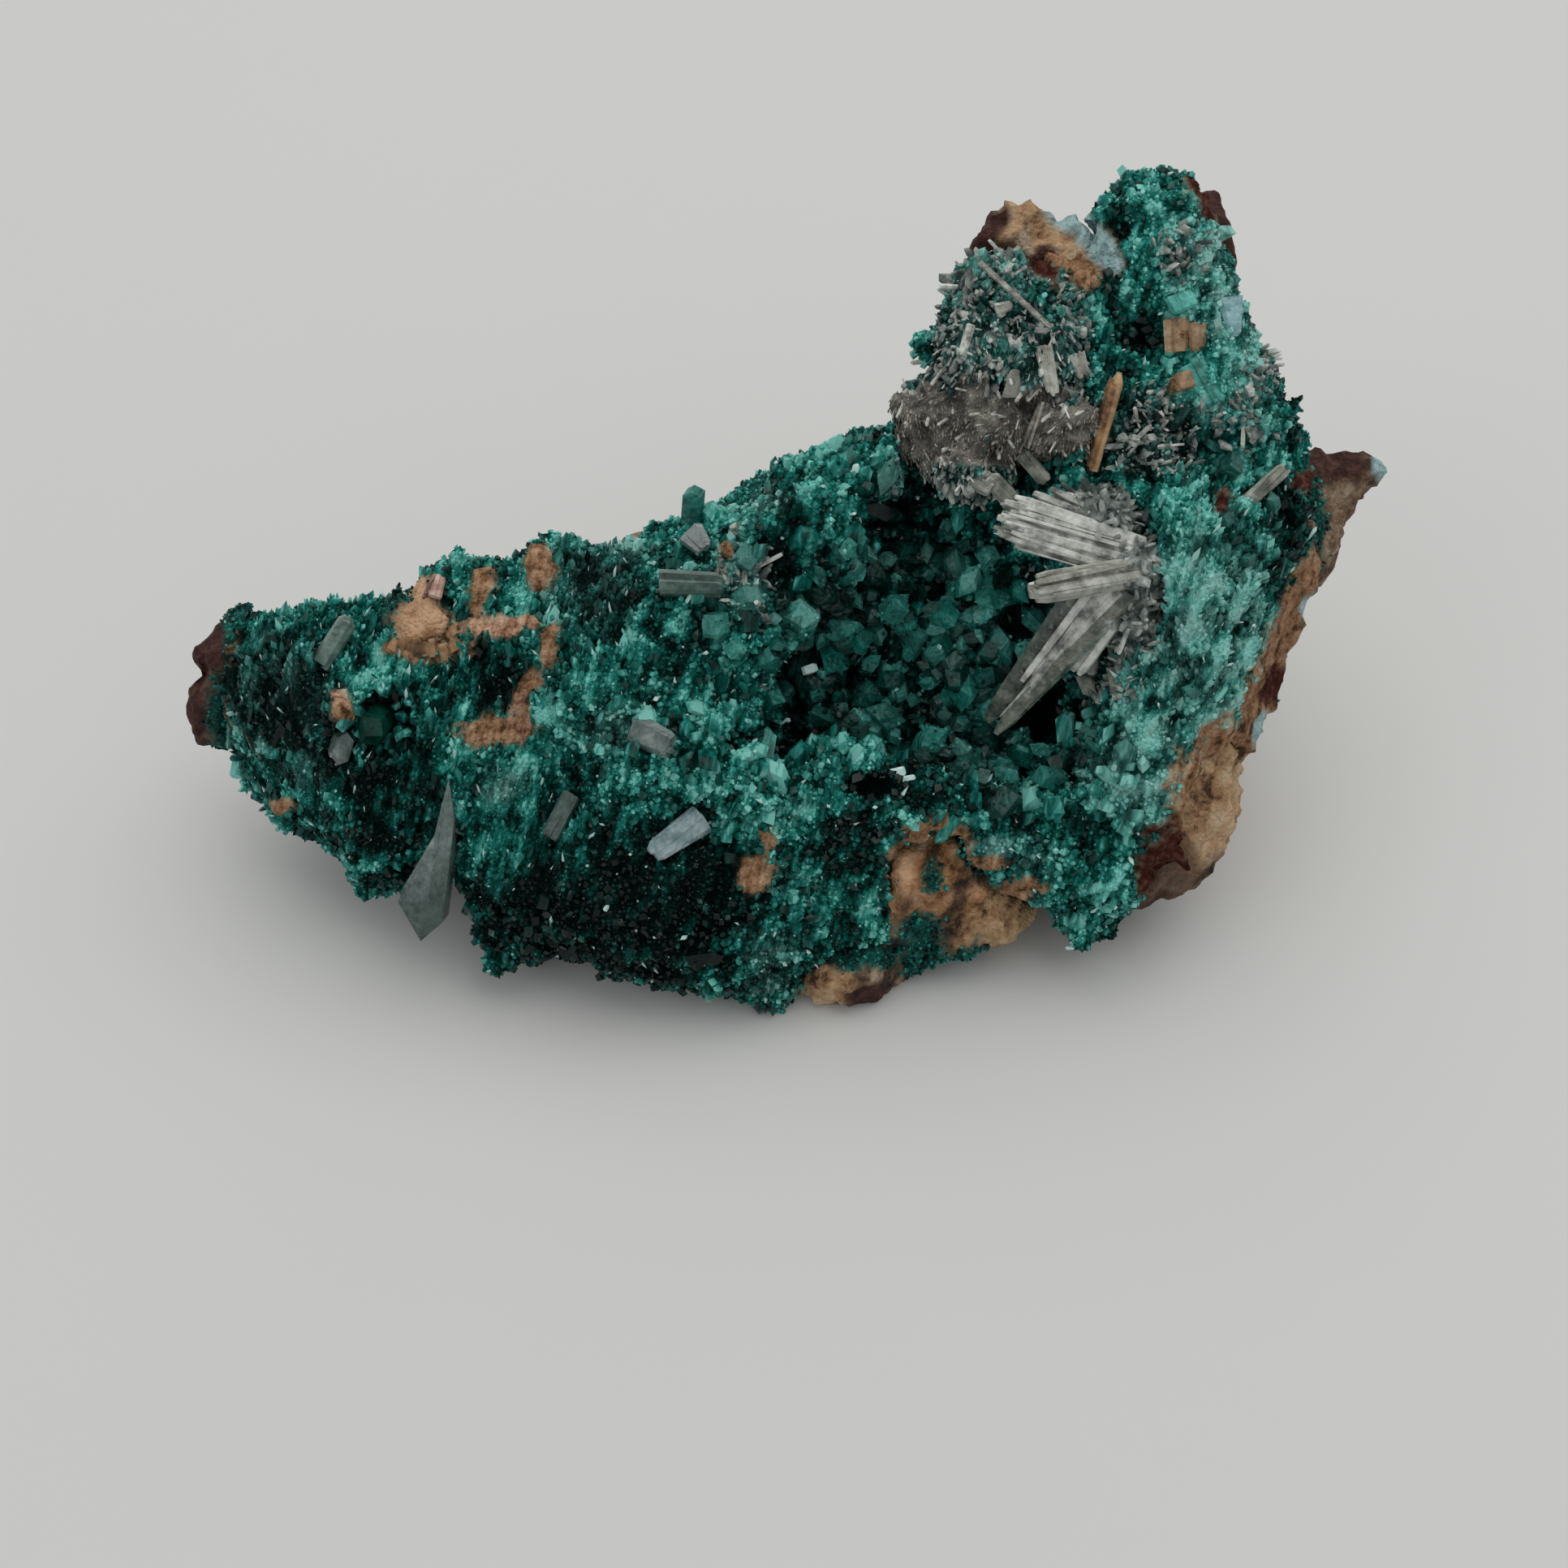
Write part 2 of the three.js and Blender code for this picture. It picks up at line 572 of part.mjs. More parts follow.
// Single crystals: name, root, tip, width, thickness and how much they narrow
const SINGLES = [
  ["tower_needle", [12.2, 49.6, 0.6], [16.3, 45.2, 4.4], 0.8, 0.8, 0.9],
  ["tower_rust_lath", [19.2, 36.8, 2.6], [20.6, 42.6, 3.4], 1.5, 1, 0.7],
  ["right_rod", [28.4, 34, 1.6], [31.6, 37, 1.6], 1.2, 1, 0.8],
  ["arm_lath", [-30, 24.2, 0.6], [-27.8, 27.4, 0], 0.9, 0.8, 0.7],
  ["arm_block", [-28.9, 19.2, 0.8], [-28.3, 19, 2.4], 1.3, 1, 0.9],
  ["front_tablet", [-4.8, 15, 3.4], [-8.6, 12.8, 5.2], 2, 0.9, 0.8],
  ["shoulder_tablet", [-6, 32.8, 0.8], [-4.8, 31.6, 3.2], 1.6, 0.8, 0.5],
  ["shoulder_lath", [-8, 29.8, 4], [-3.8, 29.6, 4.4], 1.3, 1, 0.8],
  ["front_stub", [-9.6, 20.6, 4], [-6.8, 19.6, 5.4], 1.2, 1, 0.7],
  ["ledge_lath", [-13.6, 16.2, 2.4], [-15, 13.6, 4.2], 0.8, 0.7, 0.7],
  ["hollow_splinter", [14.4, 34.6, 2.2], [12.4, 36.6, 4.6], 0.9, 0.8, 0.7],
];

function single([, root, tip, width, thickness, share], grow = 0) {
  return solidOf(lath(onFace(...root), onFace(...tip), width, thickness, { share, grow }));
}

// The upright crystal on the ridge and the dark one set in the arm
const RIDGE_CRYSTAL = { foot: [-6, 33.4, -1.6], axis: [0.1, 1, 0.3], radius: 0.65, length: 2.2 };
const ARM_CRYSTAL = { foot: [-25.6, 21, -1], axis: [-0.1, -0.2, 1], radius: 1.8, length: 4.2 };

function greenCrystal({ foot, axis, radius, length }, grow = 0) {
  const along = new THREE.Vector3(...axis).normalize().applyQuaternion(lean);
  return solidOf(hexagonalCrystal(onFace(...foot), along, radius, length, grow));
}

// Assembly

const MINERAL = {
  rock: new THREE.MeshStandardMaterial({ color: 0x8a5a38, roughness: 0.92, metalness: 0 }),
  green: new THREE.MeshStandardMaterial({ color: 0x14544c, roughness: 0.35, metalness: 0 }),
  darkGreen: new THREE.MeshStandardMaterial({ color: 0x07332b, roughness: 0.15, metalness: 0 }),
  pale: new THREE.MeshStandardMaterial({ color: 0xaaa79b, roughness: 0.4, metalness: 0 }),
  clear: new THREE.MeshStandardMaterial({ color: 0xb9c9c6, roughness: 0.15, metalness: 0 }),
  rust: new THREE.MeshStandardMaterial({ color: 0xa5673a, roughness: 0.85, metalness: 0 }),
};

const specimen = new THREE.Group();
specimen.position.set(-FOOTPRINT_CENTRE.x, -FOOTPRINT_CENTRE.y, 0);

function addPiece(name, solid, material) {
  const piece = new THREE.Mesh(geometryOf(solid), material);
  piece.name = name;
  specimen.add(piece);
}

const singleSockets = [
  leftWedge(GAP),
  ...SINGLES.map((entry) => single(entry, GAP)),
  greenCrystal(RIDGE_CRYSTAL, GAP),
  greenCrystal(ARM_CRYSTAL, GAP),
].reduce((whole, next) => whole.add(next));
const spraySocket = bladeSpray(GAP);
const bowlSocket = bowl(SKIN_GAP);
const bodySockets = greyThicket(GAP).add(spraySocket).add(bowlSocket).add(singleSockets);

const rock = rockSolid().subtract(bodySockets);
const druse = skinOver(DRUSE_LUMPS.map(faceLump), DRUSE_CELL, DRUSE_RUGGED)
  .add(join(druseCrystals()))
  .intersect(inFrontOf(ROCK_FACE + GAP))
  .subtract(rockShowing(SKIN_GAP))
  .subtract(bodySockets)
  .subtract(standingInHollow(GAP));
const hollow = hollowCrystals().subtract(spraySocket).subtract(singleSockets);
const thicket = greyThicket().subtract(spraySocket).subtract(singleSockets);

addPiece("gossan_rock", largestBody(aboveTable(rock)), MINERAL.rock);
addPiece("dioptase_druse", largestBody(aboveTable(druse)), MINERAL.green);
addPiece("hollow_crystals", largestBody(hollow), MINERAL.darkGreen);
addPiece("blade_spray", bladeSpray().subtract(singleSockets), MINERAL.pale);
addPiece("grey_thicket", largestBody(thicket), MINERAL.pale);
addPiece("left_wedge", leftWedge(), MINERAL.clear);
for (const entry of SINGLES) {
  const [name] = entry;
  addPiece(name, single(entry), name === "tower_rust_lath" ? MINERAL.rust : MINERAL.clear);
}
addPiece("ridge_crystal", greenCrystal(RIDGE_CRYSTAL), MINERAL.green);
addPiece("arm_crystal", greenCrystal(ARM_CRYSTAL), MINERAL.darkGreen);

export default specimen;
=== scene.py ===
"""The look of a dioptase specimen about 80 mm across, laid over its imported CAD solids."""

import math

import bmesh
import bpy
import numpy as np
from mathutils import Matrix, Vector, noise
from mathutils.bvhtree import BVHTree


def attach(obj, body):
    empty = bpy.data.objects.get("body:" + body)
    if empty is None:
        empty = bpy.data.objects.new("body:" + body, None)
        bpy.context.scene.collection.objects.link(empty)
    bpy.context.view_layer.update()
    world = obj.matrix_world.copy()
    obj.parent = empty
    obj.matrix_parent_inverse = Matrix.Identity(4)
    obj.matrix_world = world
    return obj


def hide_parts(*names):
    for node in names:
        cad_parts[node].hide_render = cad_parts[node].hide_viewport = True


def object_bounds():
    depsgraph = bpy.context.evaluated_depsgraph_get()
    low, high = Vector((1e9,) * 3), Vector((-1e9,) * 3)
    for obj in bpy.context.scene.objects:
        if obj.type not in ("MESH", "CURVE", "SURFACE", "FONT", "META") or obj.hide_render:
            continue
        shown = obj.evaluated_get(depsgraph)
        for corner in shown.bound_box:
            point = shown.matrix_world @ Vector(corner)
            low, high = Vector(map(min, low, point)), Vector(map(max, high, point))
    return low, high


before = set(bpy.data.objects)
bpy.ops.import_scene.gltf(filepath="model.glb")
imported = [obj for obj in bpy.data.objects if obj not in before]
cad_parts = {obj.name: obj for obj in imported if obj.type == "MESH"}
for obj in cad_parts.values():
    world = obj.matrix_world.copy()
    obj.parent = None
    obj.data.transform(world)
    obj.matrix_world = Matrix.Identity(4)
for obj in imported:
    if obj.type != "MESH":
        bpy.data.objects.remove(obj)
cad_box = [list(corner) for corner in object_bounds()]

# Gossan rock. The rusty iron oxide rock that carries everything: crumbly, pitted, tan to ochre
# where it is fresh and maroon in rounded rinds where it has weathered. It shows on the back, along
# the right edge, at the left tip and in patches through the green crust.

MM = 0.001
FACE_TILT = math.radians(47)  # the crystal face leans back this far from the table
FACE_FOOT = np.array([0.43, -20.96, 0])  # where its plane starts on the table, in millimetres
FACE_AXES = np.array(
    [
        [1, 0, 0],
        [0, math.cos(FACE_TILT), math.sin(FACE_TILT)],
        [0, -math.sin(FACE_TILT), math.cos(FACE_TILT)],
    ]
)
EYE = np.array([0, 35.4, 119.1])  # the viewer, in the face's own millimetres
BOX_GAP = 2e-6  # metres that every corner keeps from the CAD model's box
WELD_GAP = 2e-6  # metres within which a CAD solid's corners are made one
ROCK_CELL = 0.42  # millimetres across a face of the rock's skin


def from_face(points):
    """Metres in the standing frame, from millimetres across, up and out of the crystal face."""
    return (FACE_FOOT + np.asarray(points, float) @ FACE_AXES) * MM


def to_face(points):
    return (np.asarray(points) / MM - FACE_FOOT) @ FACE_AXES.T


def seen_from_front(points):
    """Where the line of sight through each point meets the plane of the crystal face."""
    at = to_face(points)
    nearer = EYE[2] / (EYE[2] - at[:, 2:])
    return EYE[:2] + (at[:, :2] - EYE[:2]) * nearer


def vectors_of(data, key):
    flat = np.empty(len(data) * 3, np.float32)
    data.foreach_get(key, flat)
    return flat.reshape(-1, 3).astype(float)


def corners_of(mesh):
    return vectors_of(mesh.vertices, "co")


def surface_of(mesh):
    """The corners of a mesh and the way that its skin faces at each."""
    return corners_of(mesh), vectors_of(mesh.vertex_normals, "vector")


def move_corners(mesh, points):
    """Sets the corners, held inside the box of the CAD model and above the table."""
    held = np.clip(points, np.array(cad_box[0]) + BOX_GAP, np.array(cad_box[1]) - BOX_GAP)
    mesh.vertices.foreach_set("co", held.astype(np.float32).ravel())
    mesh.update()


def write_values(mesh, **named):
    for name, values in named.items():
        vector = np.ndim(values) == 2
        kind = "FLOAT_VECTOR" if vector else "FLOAT"
        layer = mesh.attributes.get(name) or mesh.attributes.new(name, kind, "POINT")
        layer.data.foreach_set(
            "vector" if vector else "value", np.asarray(values, np.float32).ravel()
        )


def straight_growth(count):
    """Painted values of a surface whose crystals all grow alike, straight out."""
    return {"grow": np.ones(count), "slim": np.zeros(count), "lie": np.zeros((count, 3))}


def knobs(points, per_mm, shift=0.0):
    """Smooth noise from about -1 to 1, with this many knobs to the millimetre."""
    return np.array([noise.noise(Vector(p)) for p in points * (per_mm / MM) + shift])


def cells(points, per_mm, shift=0.0):
    """Distance to the nearest of scattered centres, about 0 to 1, for rounded grains."""
    return np.array([noise.voronoi(Vector(p))[0][0] for p in points * (per_mm / MM) + shift])


def patches(where, spots, wobble=0, soft=0.35):
    """How far each place lies in any spot: across, up, half width, half height and maybe turn."""
    inside = np.zeros(len(where))
    for across, up, half_width, half_height, *turn in spots:
        angle = math.radians(sum(turn))
        c, s = math.cos(angle), math.sin(angle)
        du, dw = where[:, 0] - across, where[:, 1] - up
        share = np.hypot((du * c + dw * s) / half_width, (dw * c - du * s) / half_height)
        inside = np.maximum(inside, np.clip((1 + soft / 2 - share + wobble) / soft, 0, 1))
    return inside


def ramp(values, low, high):
    t = np.clip((values - low) / (high - low), 0, 1)
    return t * t * (3 - 2 * t)


def add_object(name, data):
    made = bpy.data.objects.new(name, data)
    bpy.context.scene.collection.objects.link(made)
    return made


def plain_mesh(holder):
    """Turns what an object's modifiers make into its own mesh, and removes the modifiers."""
    made = bpy.data.meshes.new_from_object(
        holder.evaluated_get(bpy.context.evaluated_depsgraph_get())
    )
    holder.modifiers.clear()
    holder.data = made


def smooth(mesh):
    mesh.polygons.foreach_set("use_smooth", [True] * len(mesh.polygons))


def even_skin(name, shell, cell):
    """One closed skin of evenly sized faces round all that a bmesh holds."""
    mesh = bpy.data.meshes.new(name)
    shell.to_mesh(mesh)
    shell.free()
    holder = add_object(name, mesh)
    net = holder.modifiers.new("net", "REMESH")
    net.mode = "VOXEL"
    net.voxel_size = cell * MM
    plain_mesh(holder)
    smooth(holder.data)
    return holder


def fine_copy(name, node_name, cell):
    """A closed copy of a CAD solid, covered evenly with faces of one size."""
    shell = bmesh.new()
    shell.from_mesh(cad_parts[node_name].data)
    bmesh.ops.remove_doubles(shell, verts=shell.verts, dist=WELD_GAP)
    return even_skin(name, shell, cell)


def distance_to(node_name, points):
    """Millimetres from each point to the nearest surface of a CAD solid."""
    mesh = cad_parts[node_name].data
    corners = [v.co.copy() for v in mesh.vertices]
    tree = BVHTree.FromPolygons(corners, [list(p.vertices) for p in mesh.polygons])
    return np.array([tree.find_nearest(Vector(p))[3] for p in points]) / MM


def seat(piece, slot, finish, *replaced):
    """Gives a piece its finish and rides it with the specimen in place of a node; the slot is not
    used.
    """
    piece.data.materials.append(finish)
    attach(piece, "root")
    if replaced:
        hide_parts(*replaced)


def socket_of(sockets, name):
    return next(s for s in sockets if s.enabled and s.name.replace(" ", "_").lower() == name)


def plug(target, value):
    """Puts a value, or another node's output, into an input."""
    if isinstance(value, bpy.types.NodeSocket):
        target.id_data.links.new(value, target)
    else:
        target.default_value = value


def feed(made, **inputs):
    for name, value in inputs.items():
        plug(socket_of(made.inputs, name), value)


def node(tree, kind, settings=None, **inputs):
    """One node of a tree, with its settings made and its named inputs fed."""
    made = tree.nodes.new(kind)
    for key, value in (settings or {}).items():
        setattr(made, key, value)
    feed(made, **inputs)
    return made


def reckon(operation, first, *others):
    """Values put together one after another by a sum of one kind, in the tree they are in."""
    tree = next(v.id_data for v in (first, *others) if isinstance(v, bpy.types.NodeSocket))
    for other in others:
        made = node(tree, "ShaderNodeMath", {"operation": operation})
        plug(made.inputs[0], first)
        plug(made.inputs[1], other)
        first = made.outputs[0]
    return first


def plus(*values):
    return reckon("ADD", *values)


def minus(first, second):
    return reckon("SUBTRACT", first, second)


def times(*values):
    return reckon("MULTIPLY", *values)


def blend_of(share, under, over):
    """One colour laid over another by a share from 0 to 1."""
    made = node(
        share.id_data, "ShaderNodeMix", {"data_type": "RGBA"}, factor=share, a=under, b=over
    )
    return socket_of(made.outputs, "result")


def painted(tree, name):
    return node(tree, "ShaderNodeAttribute", {"attribute_name": name}).outputs["Fac"]


def ramp_of(value, *stops):
    """A colour that changes along stops of place and colour."""
    made = node(value.id_data, "ShaderNodeValToRGB", fac=value)
    elements = made.color_ramp.elements
    while len(elements) < len(stops):
        elements.new(0.5)
    for element, (place, colour) in zip(elements, stops):
        element.position = place
        element.color = (*colour, 1)
    return made.outputs["Color"]


def new_group(name, inputs, *outputs):
    """A shader node group with numbers in and out: it, its inputs, Object coordinates, its ends."""
    group = bpy.data.node_groups.new(name, "ShaderNodeTree")
    add = group.interface.new_socket
    for label, start in inputs.items():
        add(label, in_out="INPUT", socket_type="NodeSocketFloat").default_value = start
    for label in outputs:
        add(label, in_out="OUTPUT", socket_type="NodeSocketFloat")
    at = node(group, "ShaderNodeTexCoord").outputs["Object"]
    given, ends = node(group, "NodeGroupInput"), node(group, "NodeGroupOutput")
    return group, given.outputs, at, ends.inputs


# Speckles of two sizes, and the height that goes with them
grain, given, at, ends = new_group(
    "Mineral grain", {"Grains per metre": 1000.0, "Contrast": 1.0}, "Speckle", "Height"
)
coarse = node(
    grain, "ShaderNodeTexNoise", vector=at, scale=given[0], detail=5.0, roughness=0.65
).outputs["Fac"]
fine = node(grain, "ShaderNodeTexVoronoi", vector=at, scale=times(given[0], 2.6))
plug(ends["Speckle"], plus(times(minus(coarse, 0.5), given[1]), 0.5))
plug(ends["Height"], minus(coarse, times(fine.outputs["Distance"], 0.45)))

# Fine streaks that run up the leaning face and a little to the right
streaks, given, at, ends = new_group("Streaks up the face", {"Streaks per metre": 2200.0}, "Streak")
turn = (-FACE_TILT, 0, math.radians(14))
turned = node(streaks, "ShaderNodeMapping", vector=at, rotation=turn).outputs[0]
drawn = node(streaks, "ShaderNodeMapping", vector=turned, scale=(1, 0.2, 0.7)).outputs[0]
streak = node(
    streaks, "ShaderNodeTexNoise", vector=drawn, scale=given[0], detail=3.0, roughness=0.6
)
plug(ends["Streak"], streak.outputs["Fac"])


def grain_in(tree, per_metre, contrast):
    made = node(
        tree,
        "ShaderNodeGroup",
        {"node_tree": grain},
        grains_per_metre=per_metre,
        contrast=contrast,
    )
    return made.outputs["Speckle"], made.outputs["Height"]


def streak_in(tree, per_metre, strength):
    """Streaks centred on nothing, from about minus half to half of the strength."""
    made = node(tree, "ShaderNodeGroup", {"node_tree": streaks}, streaks_per_metre=per_metre)
    return times(minus(made.outputs["Streak"], 0.5), strength)


def new_material(name):
    """An empty material, its tree and its surface shader."""
    made = bpy.data.materials.new(name)
    made.use_nodes = True
    tree = made.node_tree
    tree.nodes.clear()
    shader = node(tree, "ShaderNodeBsdfPrincipled")
    node(tree, "ShaderNodeOutputMaterial", surface=shader.outputs["BSDF"])
    return made, tree, shader


def rough_skin(height, depth, strength=1.0):
    """Bumps of a depth in millimetres."""
    return node(
        height.id_data, "ShaderNodeBump", height=height, distance=depth * MM, strength=strength
    ).outputs["Normal"]


# Patches on the rock, in the face's millimetres: across, up, half width, half height, turn
ROCK_MAROON = [
    (-37.9, 26.4, 2.8, 3.2), (-40, 21.2, 3.6, 4.4, 14), (27.6, 52.4, 2.6, 3.6, -30),
    (24.8, 10.8, 2.4, 3), (35.2, 37.2, 2.2, 1.3), (31.9, 23, 1.1, 1.8), (28.2, 35, 0.8, 1),
    (5.6, 2.2, 1.4, 0.6, 10), (12.9, 51.8, 1.4, 0.8, 40), (16.4, 49.9, 0.6, 0.9),
]
ROCK_OCHRE = [
    (2.6, 2.8, 2, 1.4), (-23, 26.4, 2.4, 2.6), (9.4, 10.8, 2.6, 3.6), (14, 7.6, 3.4, 2.2, 30),
    (28.2, 15.8, 2.4, 5, -20), (14.4, 52.4, 2.2, 1, 30), (16.8, 51.2, 1.2, 2.2, 40),
    (18.5, 49.6, 1, 1.8, 40),
]
ROCK_BLUE = [
    (17.3, 52.7, 0.9, 1.7, 42), (19.3, 50.9, 0.9, 1.8, 40), (30.8, 19.8, 0.5, 1.7),
    (38.1, 37.2, 0.6, 1), (33.7, 28, 0.5, 0.9, -20),
]
ROCK_GREEN = [
    (4.7, 5, 3.6, 1.1), (-25.7, 28.7, 1.6, 2.1), (-21.3, 29, 1, 2), (-26.2, 27.4, 1.3, 1.7),
    (-20.8, 27.6, 0.9, 1.4), (33.6, 33.6, 1.2, 3), (-33.4, 26, 2, 3.4), (-34.8, 19.6, 2, 3.8, 10),
    (-31, 24, 3, 6), (9.2, 5.2, 1.8, 2.4), (9.8, 10.3, 0.8, 1.1), (11.9, 11.8, 0.8, 1.6, 30),
    (12.4, 5.2, 1.2, 1, 20), (20.4, 8.4, 2, 2),
]
ROCK_RIM = [
    (-2.8, 35.9, 3.2, 1.8), (5, 39.3, 2.2, 1.4), (-34.9, 25.8, 1.3, 3.6),
    (-35.9, 20.6, 1.8, 3.4, 4),
]
# Where the maroon is weaker, the ochre block, a notch in the left tip, the arm's scar, the hollow
FOOT_MAROON = [(24.8, 10.8, 3.6, 4.2)]
FRONT_BLOCK = [(9.6, 10.8, 3.4, 4.4)]
TIP_NOTCH = [(-39.2, 23.7, 2.2, 0.5)]
ARM_SCAR = [(-23.0, 26.6, 3.4, 4.4)]
UNDER_HOLLOW = [(8, 24.5, 11, 9.5)]
# Colour ramps: place and colour
GREEN_STOPS = (
    (0.0, (0.0003, 0.0065, 0.0055)), (0.28, (0.0015, 0.032, 0.026)), (0.5, (0.006, 0.11, 0.09)),
    (0.72, (0.022, 0.27, 0.222)), (0.88, (0.08, 0.46, 0.385)), (1.0, (0.26, 0.72, 0.63)),
)
BLUE_STOPS = ((0.1, (0.13, 0.20, 0.20)), (0.5, (0.32, 0.48, 0.48)), (1.0, (0.56, 0.70, 0.70)))

gossan, tree, shader = new_material("gossan rock")
speckle, height = grain_in(tree, 1400, 1.8)
mottle, _ = grain_in(tree, 380, 3.0)
drawn_out = plus(mottle, streak_in(tree, 1100, 1.1))
worn = ramp_of(
    drawn_out,
    (0.08, (0.018, 0.011, 0.009)), (0.36, (0.07, 0.042, 0.029)),
    (0.56, (0.19, 0.117, 0.07)), (1.0, (0.43, 0.33, 0.23)),
)
ochre = ramp_of(
    drawn_out,
    (0.1, (0.06, 0.031, 0.016)), (0.34, (0.35, 0.20, 0.10)),
    (0.6, (0.52, 0.335, 0.185)), (1.0, (0.66, 0.49, 0.32)),
)
orange_ochre = ramp_of(
    plus(drawn_out, times(painted(tree, "scar"), 0.4)),
    (0.1, (0.06, 0.03, 0.015)), (0.34, (0.28, 0.14, 0.055)),
    (0.6, (0.44, 0.23, 0.115)), (1.0, (0.68, 0.42, 0.25)),
)
maroon = ramp_of(
    speckle,
    (0.1, (0.012, 0.004, 0.003)), (0.5, (0.055, 0.018, 0.013)), (1.0, (0.14, 0.07, 0.055)),
)
green = ramp_of(minus(times(speckle, 0.8), 0.02), *GREEN_STOPS)
ochre = blend_of(painted(tree, "warm"), ochre, orange_ochre)
colour = blend_of(painted(tree, "ochre"), worn, ochre)
colour = blend_of(painted(tree, "maroon"), colour, maroon)
colour = blend_of(painted(tree, "blue"), colour, ramp_of(speckle, *BLUE_STOPS))
feed(
    shader,
    base_color=blend_of(painted(tree, "green"), colour, green),
    roughness=plus(times(speckle, 0.25), 0.62),
    specular_ior_level=0.25,
    normal=rough_skin(height, 0.35),
)

rock = fine_copy("gossan_rock_weathered", "gossan_rock", ROCK_CELL)
points, outwards = surface_of(rock.data)
spots = seen_from_front(points)
place = to_face(points)
on_face_side = np.maximum(ramp(place[:, 2], -9, -6), ramp(-place[:, 0], 33, 35))
wobble = 0.35 * knobs(points, 0.55, 3) + 0.3 * knobs(points, 1.6, 4)
maroon_share = patches(spots, ROCK_MAROON, wobble) * on_face_side
maroon_share *= 1 - 0.3 * patches(spots, FOOT_MAROON)
block = patches(spots, FRONT_BLOCK, wobble)
ochre_share = patches(spots, ROCK_OCHRE, wobble) * on_face_side
blue_share = patches(spots, ROCK_BLUE, 0.5 * wobble) * on_face_side
notch = patches(spots, TIP_NOTCH, 0, 1.4) * on_face_side
green_share = patches(spots, ROCK_GREEN, wobble) * on_face_side * (1 - maroon_share)
# The rim's green thins out down the back, which starts deeper towards the tower
behind = place[:, 2] + 3 * wobble + 0.37 * np.clip(place[:, 0] + 2.8, 0, 8)
rim_share = patches(spots, ROCK_RIM, 0.5 * wobble) * ramp(behind, -12.8, -10.4)
green_share = np.maximum(green_share, rim_share)
within = patches(spots, UNDER_HOLLOW, wobble) * ramp(place[:, 2], -13, -11.5)
green_share = np.maximum(green_share, within)
weathered = ramp(knobs(points, 0.11, 7), 0.12, 0.42) * (1 - on_face_side)
weathered = np.maximum(maroon_share, weathered)
swell = 0.55 * ramp(distance_to("dioptase_druse", points), 1.3, 0.6)
bumps = 0.32 * knobs(points, 0.32) + 0.3 * knobs(points, 0.8, 5) + 0.24 * knobs(points, 1.8, 9)
rinds = 0.55 * (0.5 - cells(points, 0.75, 2))
calm = 1 - 0.6 * blue_share * (1 - ochre_share)
pores = 0.4 * np.minimum(cells(points, 1.3, 6), 0.5) - 0.15
relief = swell + (1 - weathered) * (bumps * (1 + 0.7 * ochre_share) + pores) * calm
relief += weathered * (rinds + 0.4 * bumps) - 1.1 * notch
points = points + outwards * (relief * MM)[:, None]
# The ochre scar on the arm is a triangle, broad below and narrow above
scar = patches(spots, ARM_SCAR) * on_face_side
climb = np.clip((spots[:, 1] - 24.6) / 5, 0, 1)
place = to_face(points)
place[:, 0] += scar * ((-22.9 - place[:, 0]) * (0.9 * climb - 0.35) - 0.5)
place[:, 1] += scar * climb * 0.8
place[:, 2] -= scar * 0.75 * np.maximum(place[:, 2] + 0.1, 0)
points = from_face(place)
move_corners(rock.data, points)
ochre_behind = 0.8 * ramp(knobs(points, 0.17, 11), 0.1, 0.35) * (1 - on_face_side)
# Painted highlight: the ridge's rim on the rock is painted lighter
ridge_painted_highlight = 0.2 * patches(spots, ROCK_RIM[:2], wobble)
write_values(
    rock.data,
    scar=scar,
    warm=np.maximum(scar, block),
    ochre=np.maximum(ochre_share, ochre_behind),
    maroon=weathered,
    blue=blue_share,
    green=green_share,
    here=green_share * (1 - within),
    # Painted shade: the rock deep inside the hollow is painted darker
    tone=0.42 + 0.3 * knobs(points, 0.8, 15) - 0.4 * within + ridge_painted_highlight,
    pale=np.zeros(len(points)),
    **straight_growth(len(points)),
)
seat(rock, "gossan", gossan, "gossan_rock")

# The druse's ground. The green crust of dioptase that coats the leaning face: lumpy, pitted here
# and there, painted dark between its lumps and in its pits as shade, and stained ochre or salmon
# where the rock comes through.

CRUST_CELL = 0.36  # millimetres across a face of the crust's skin
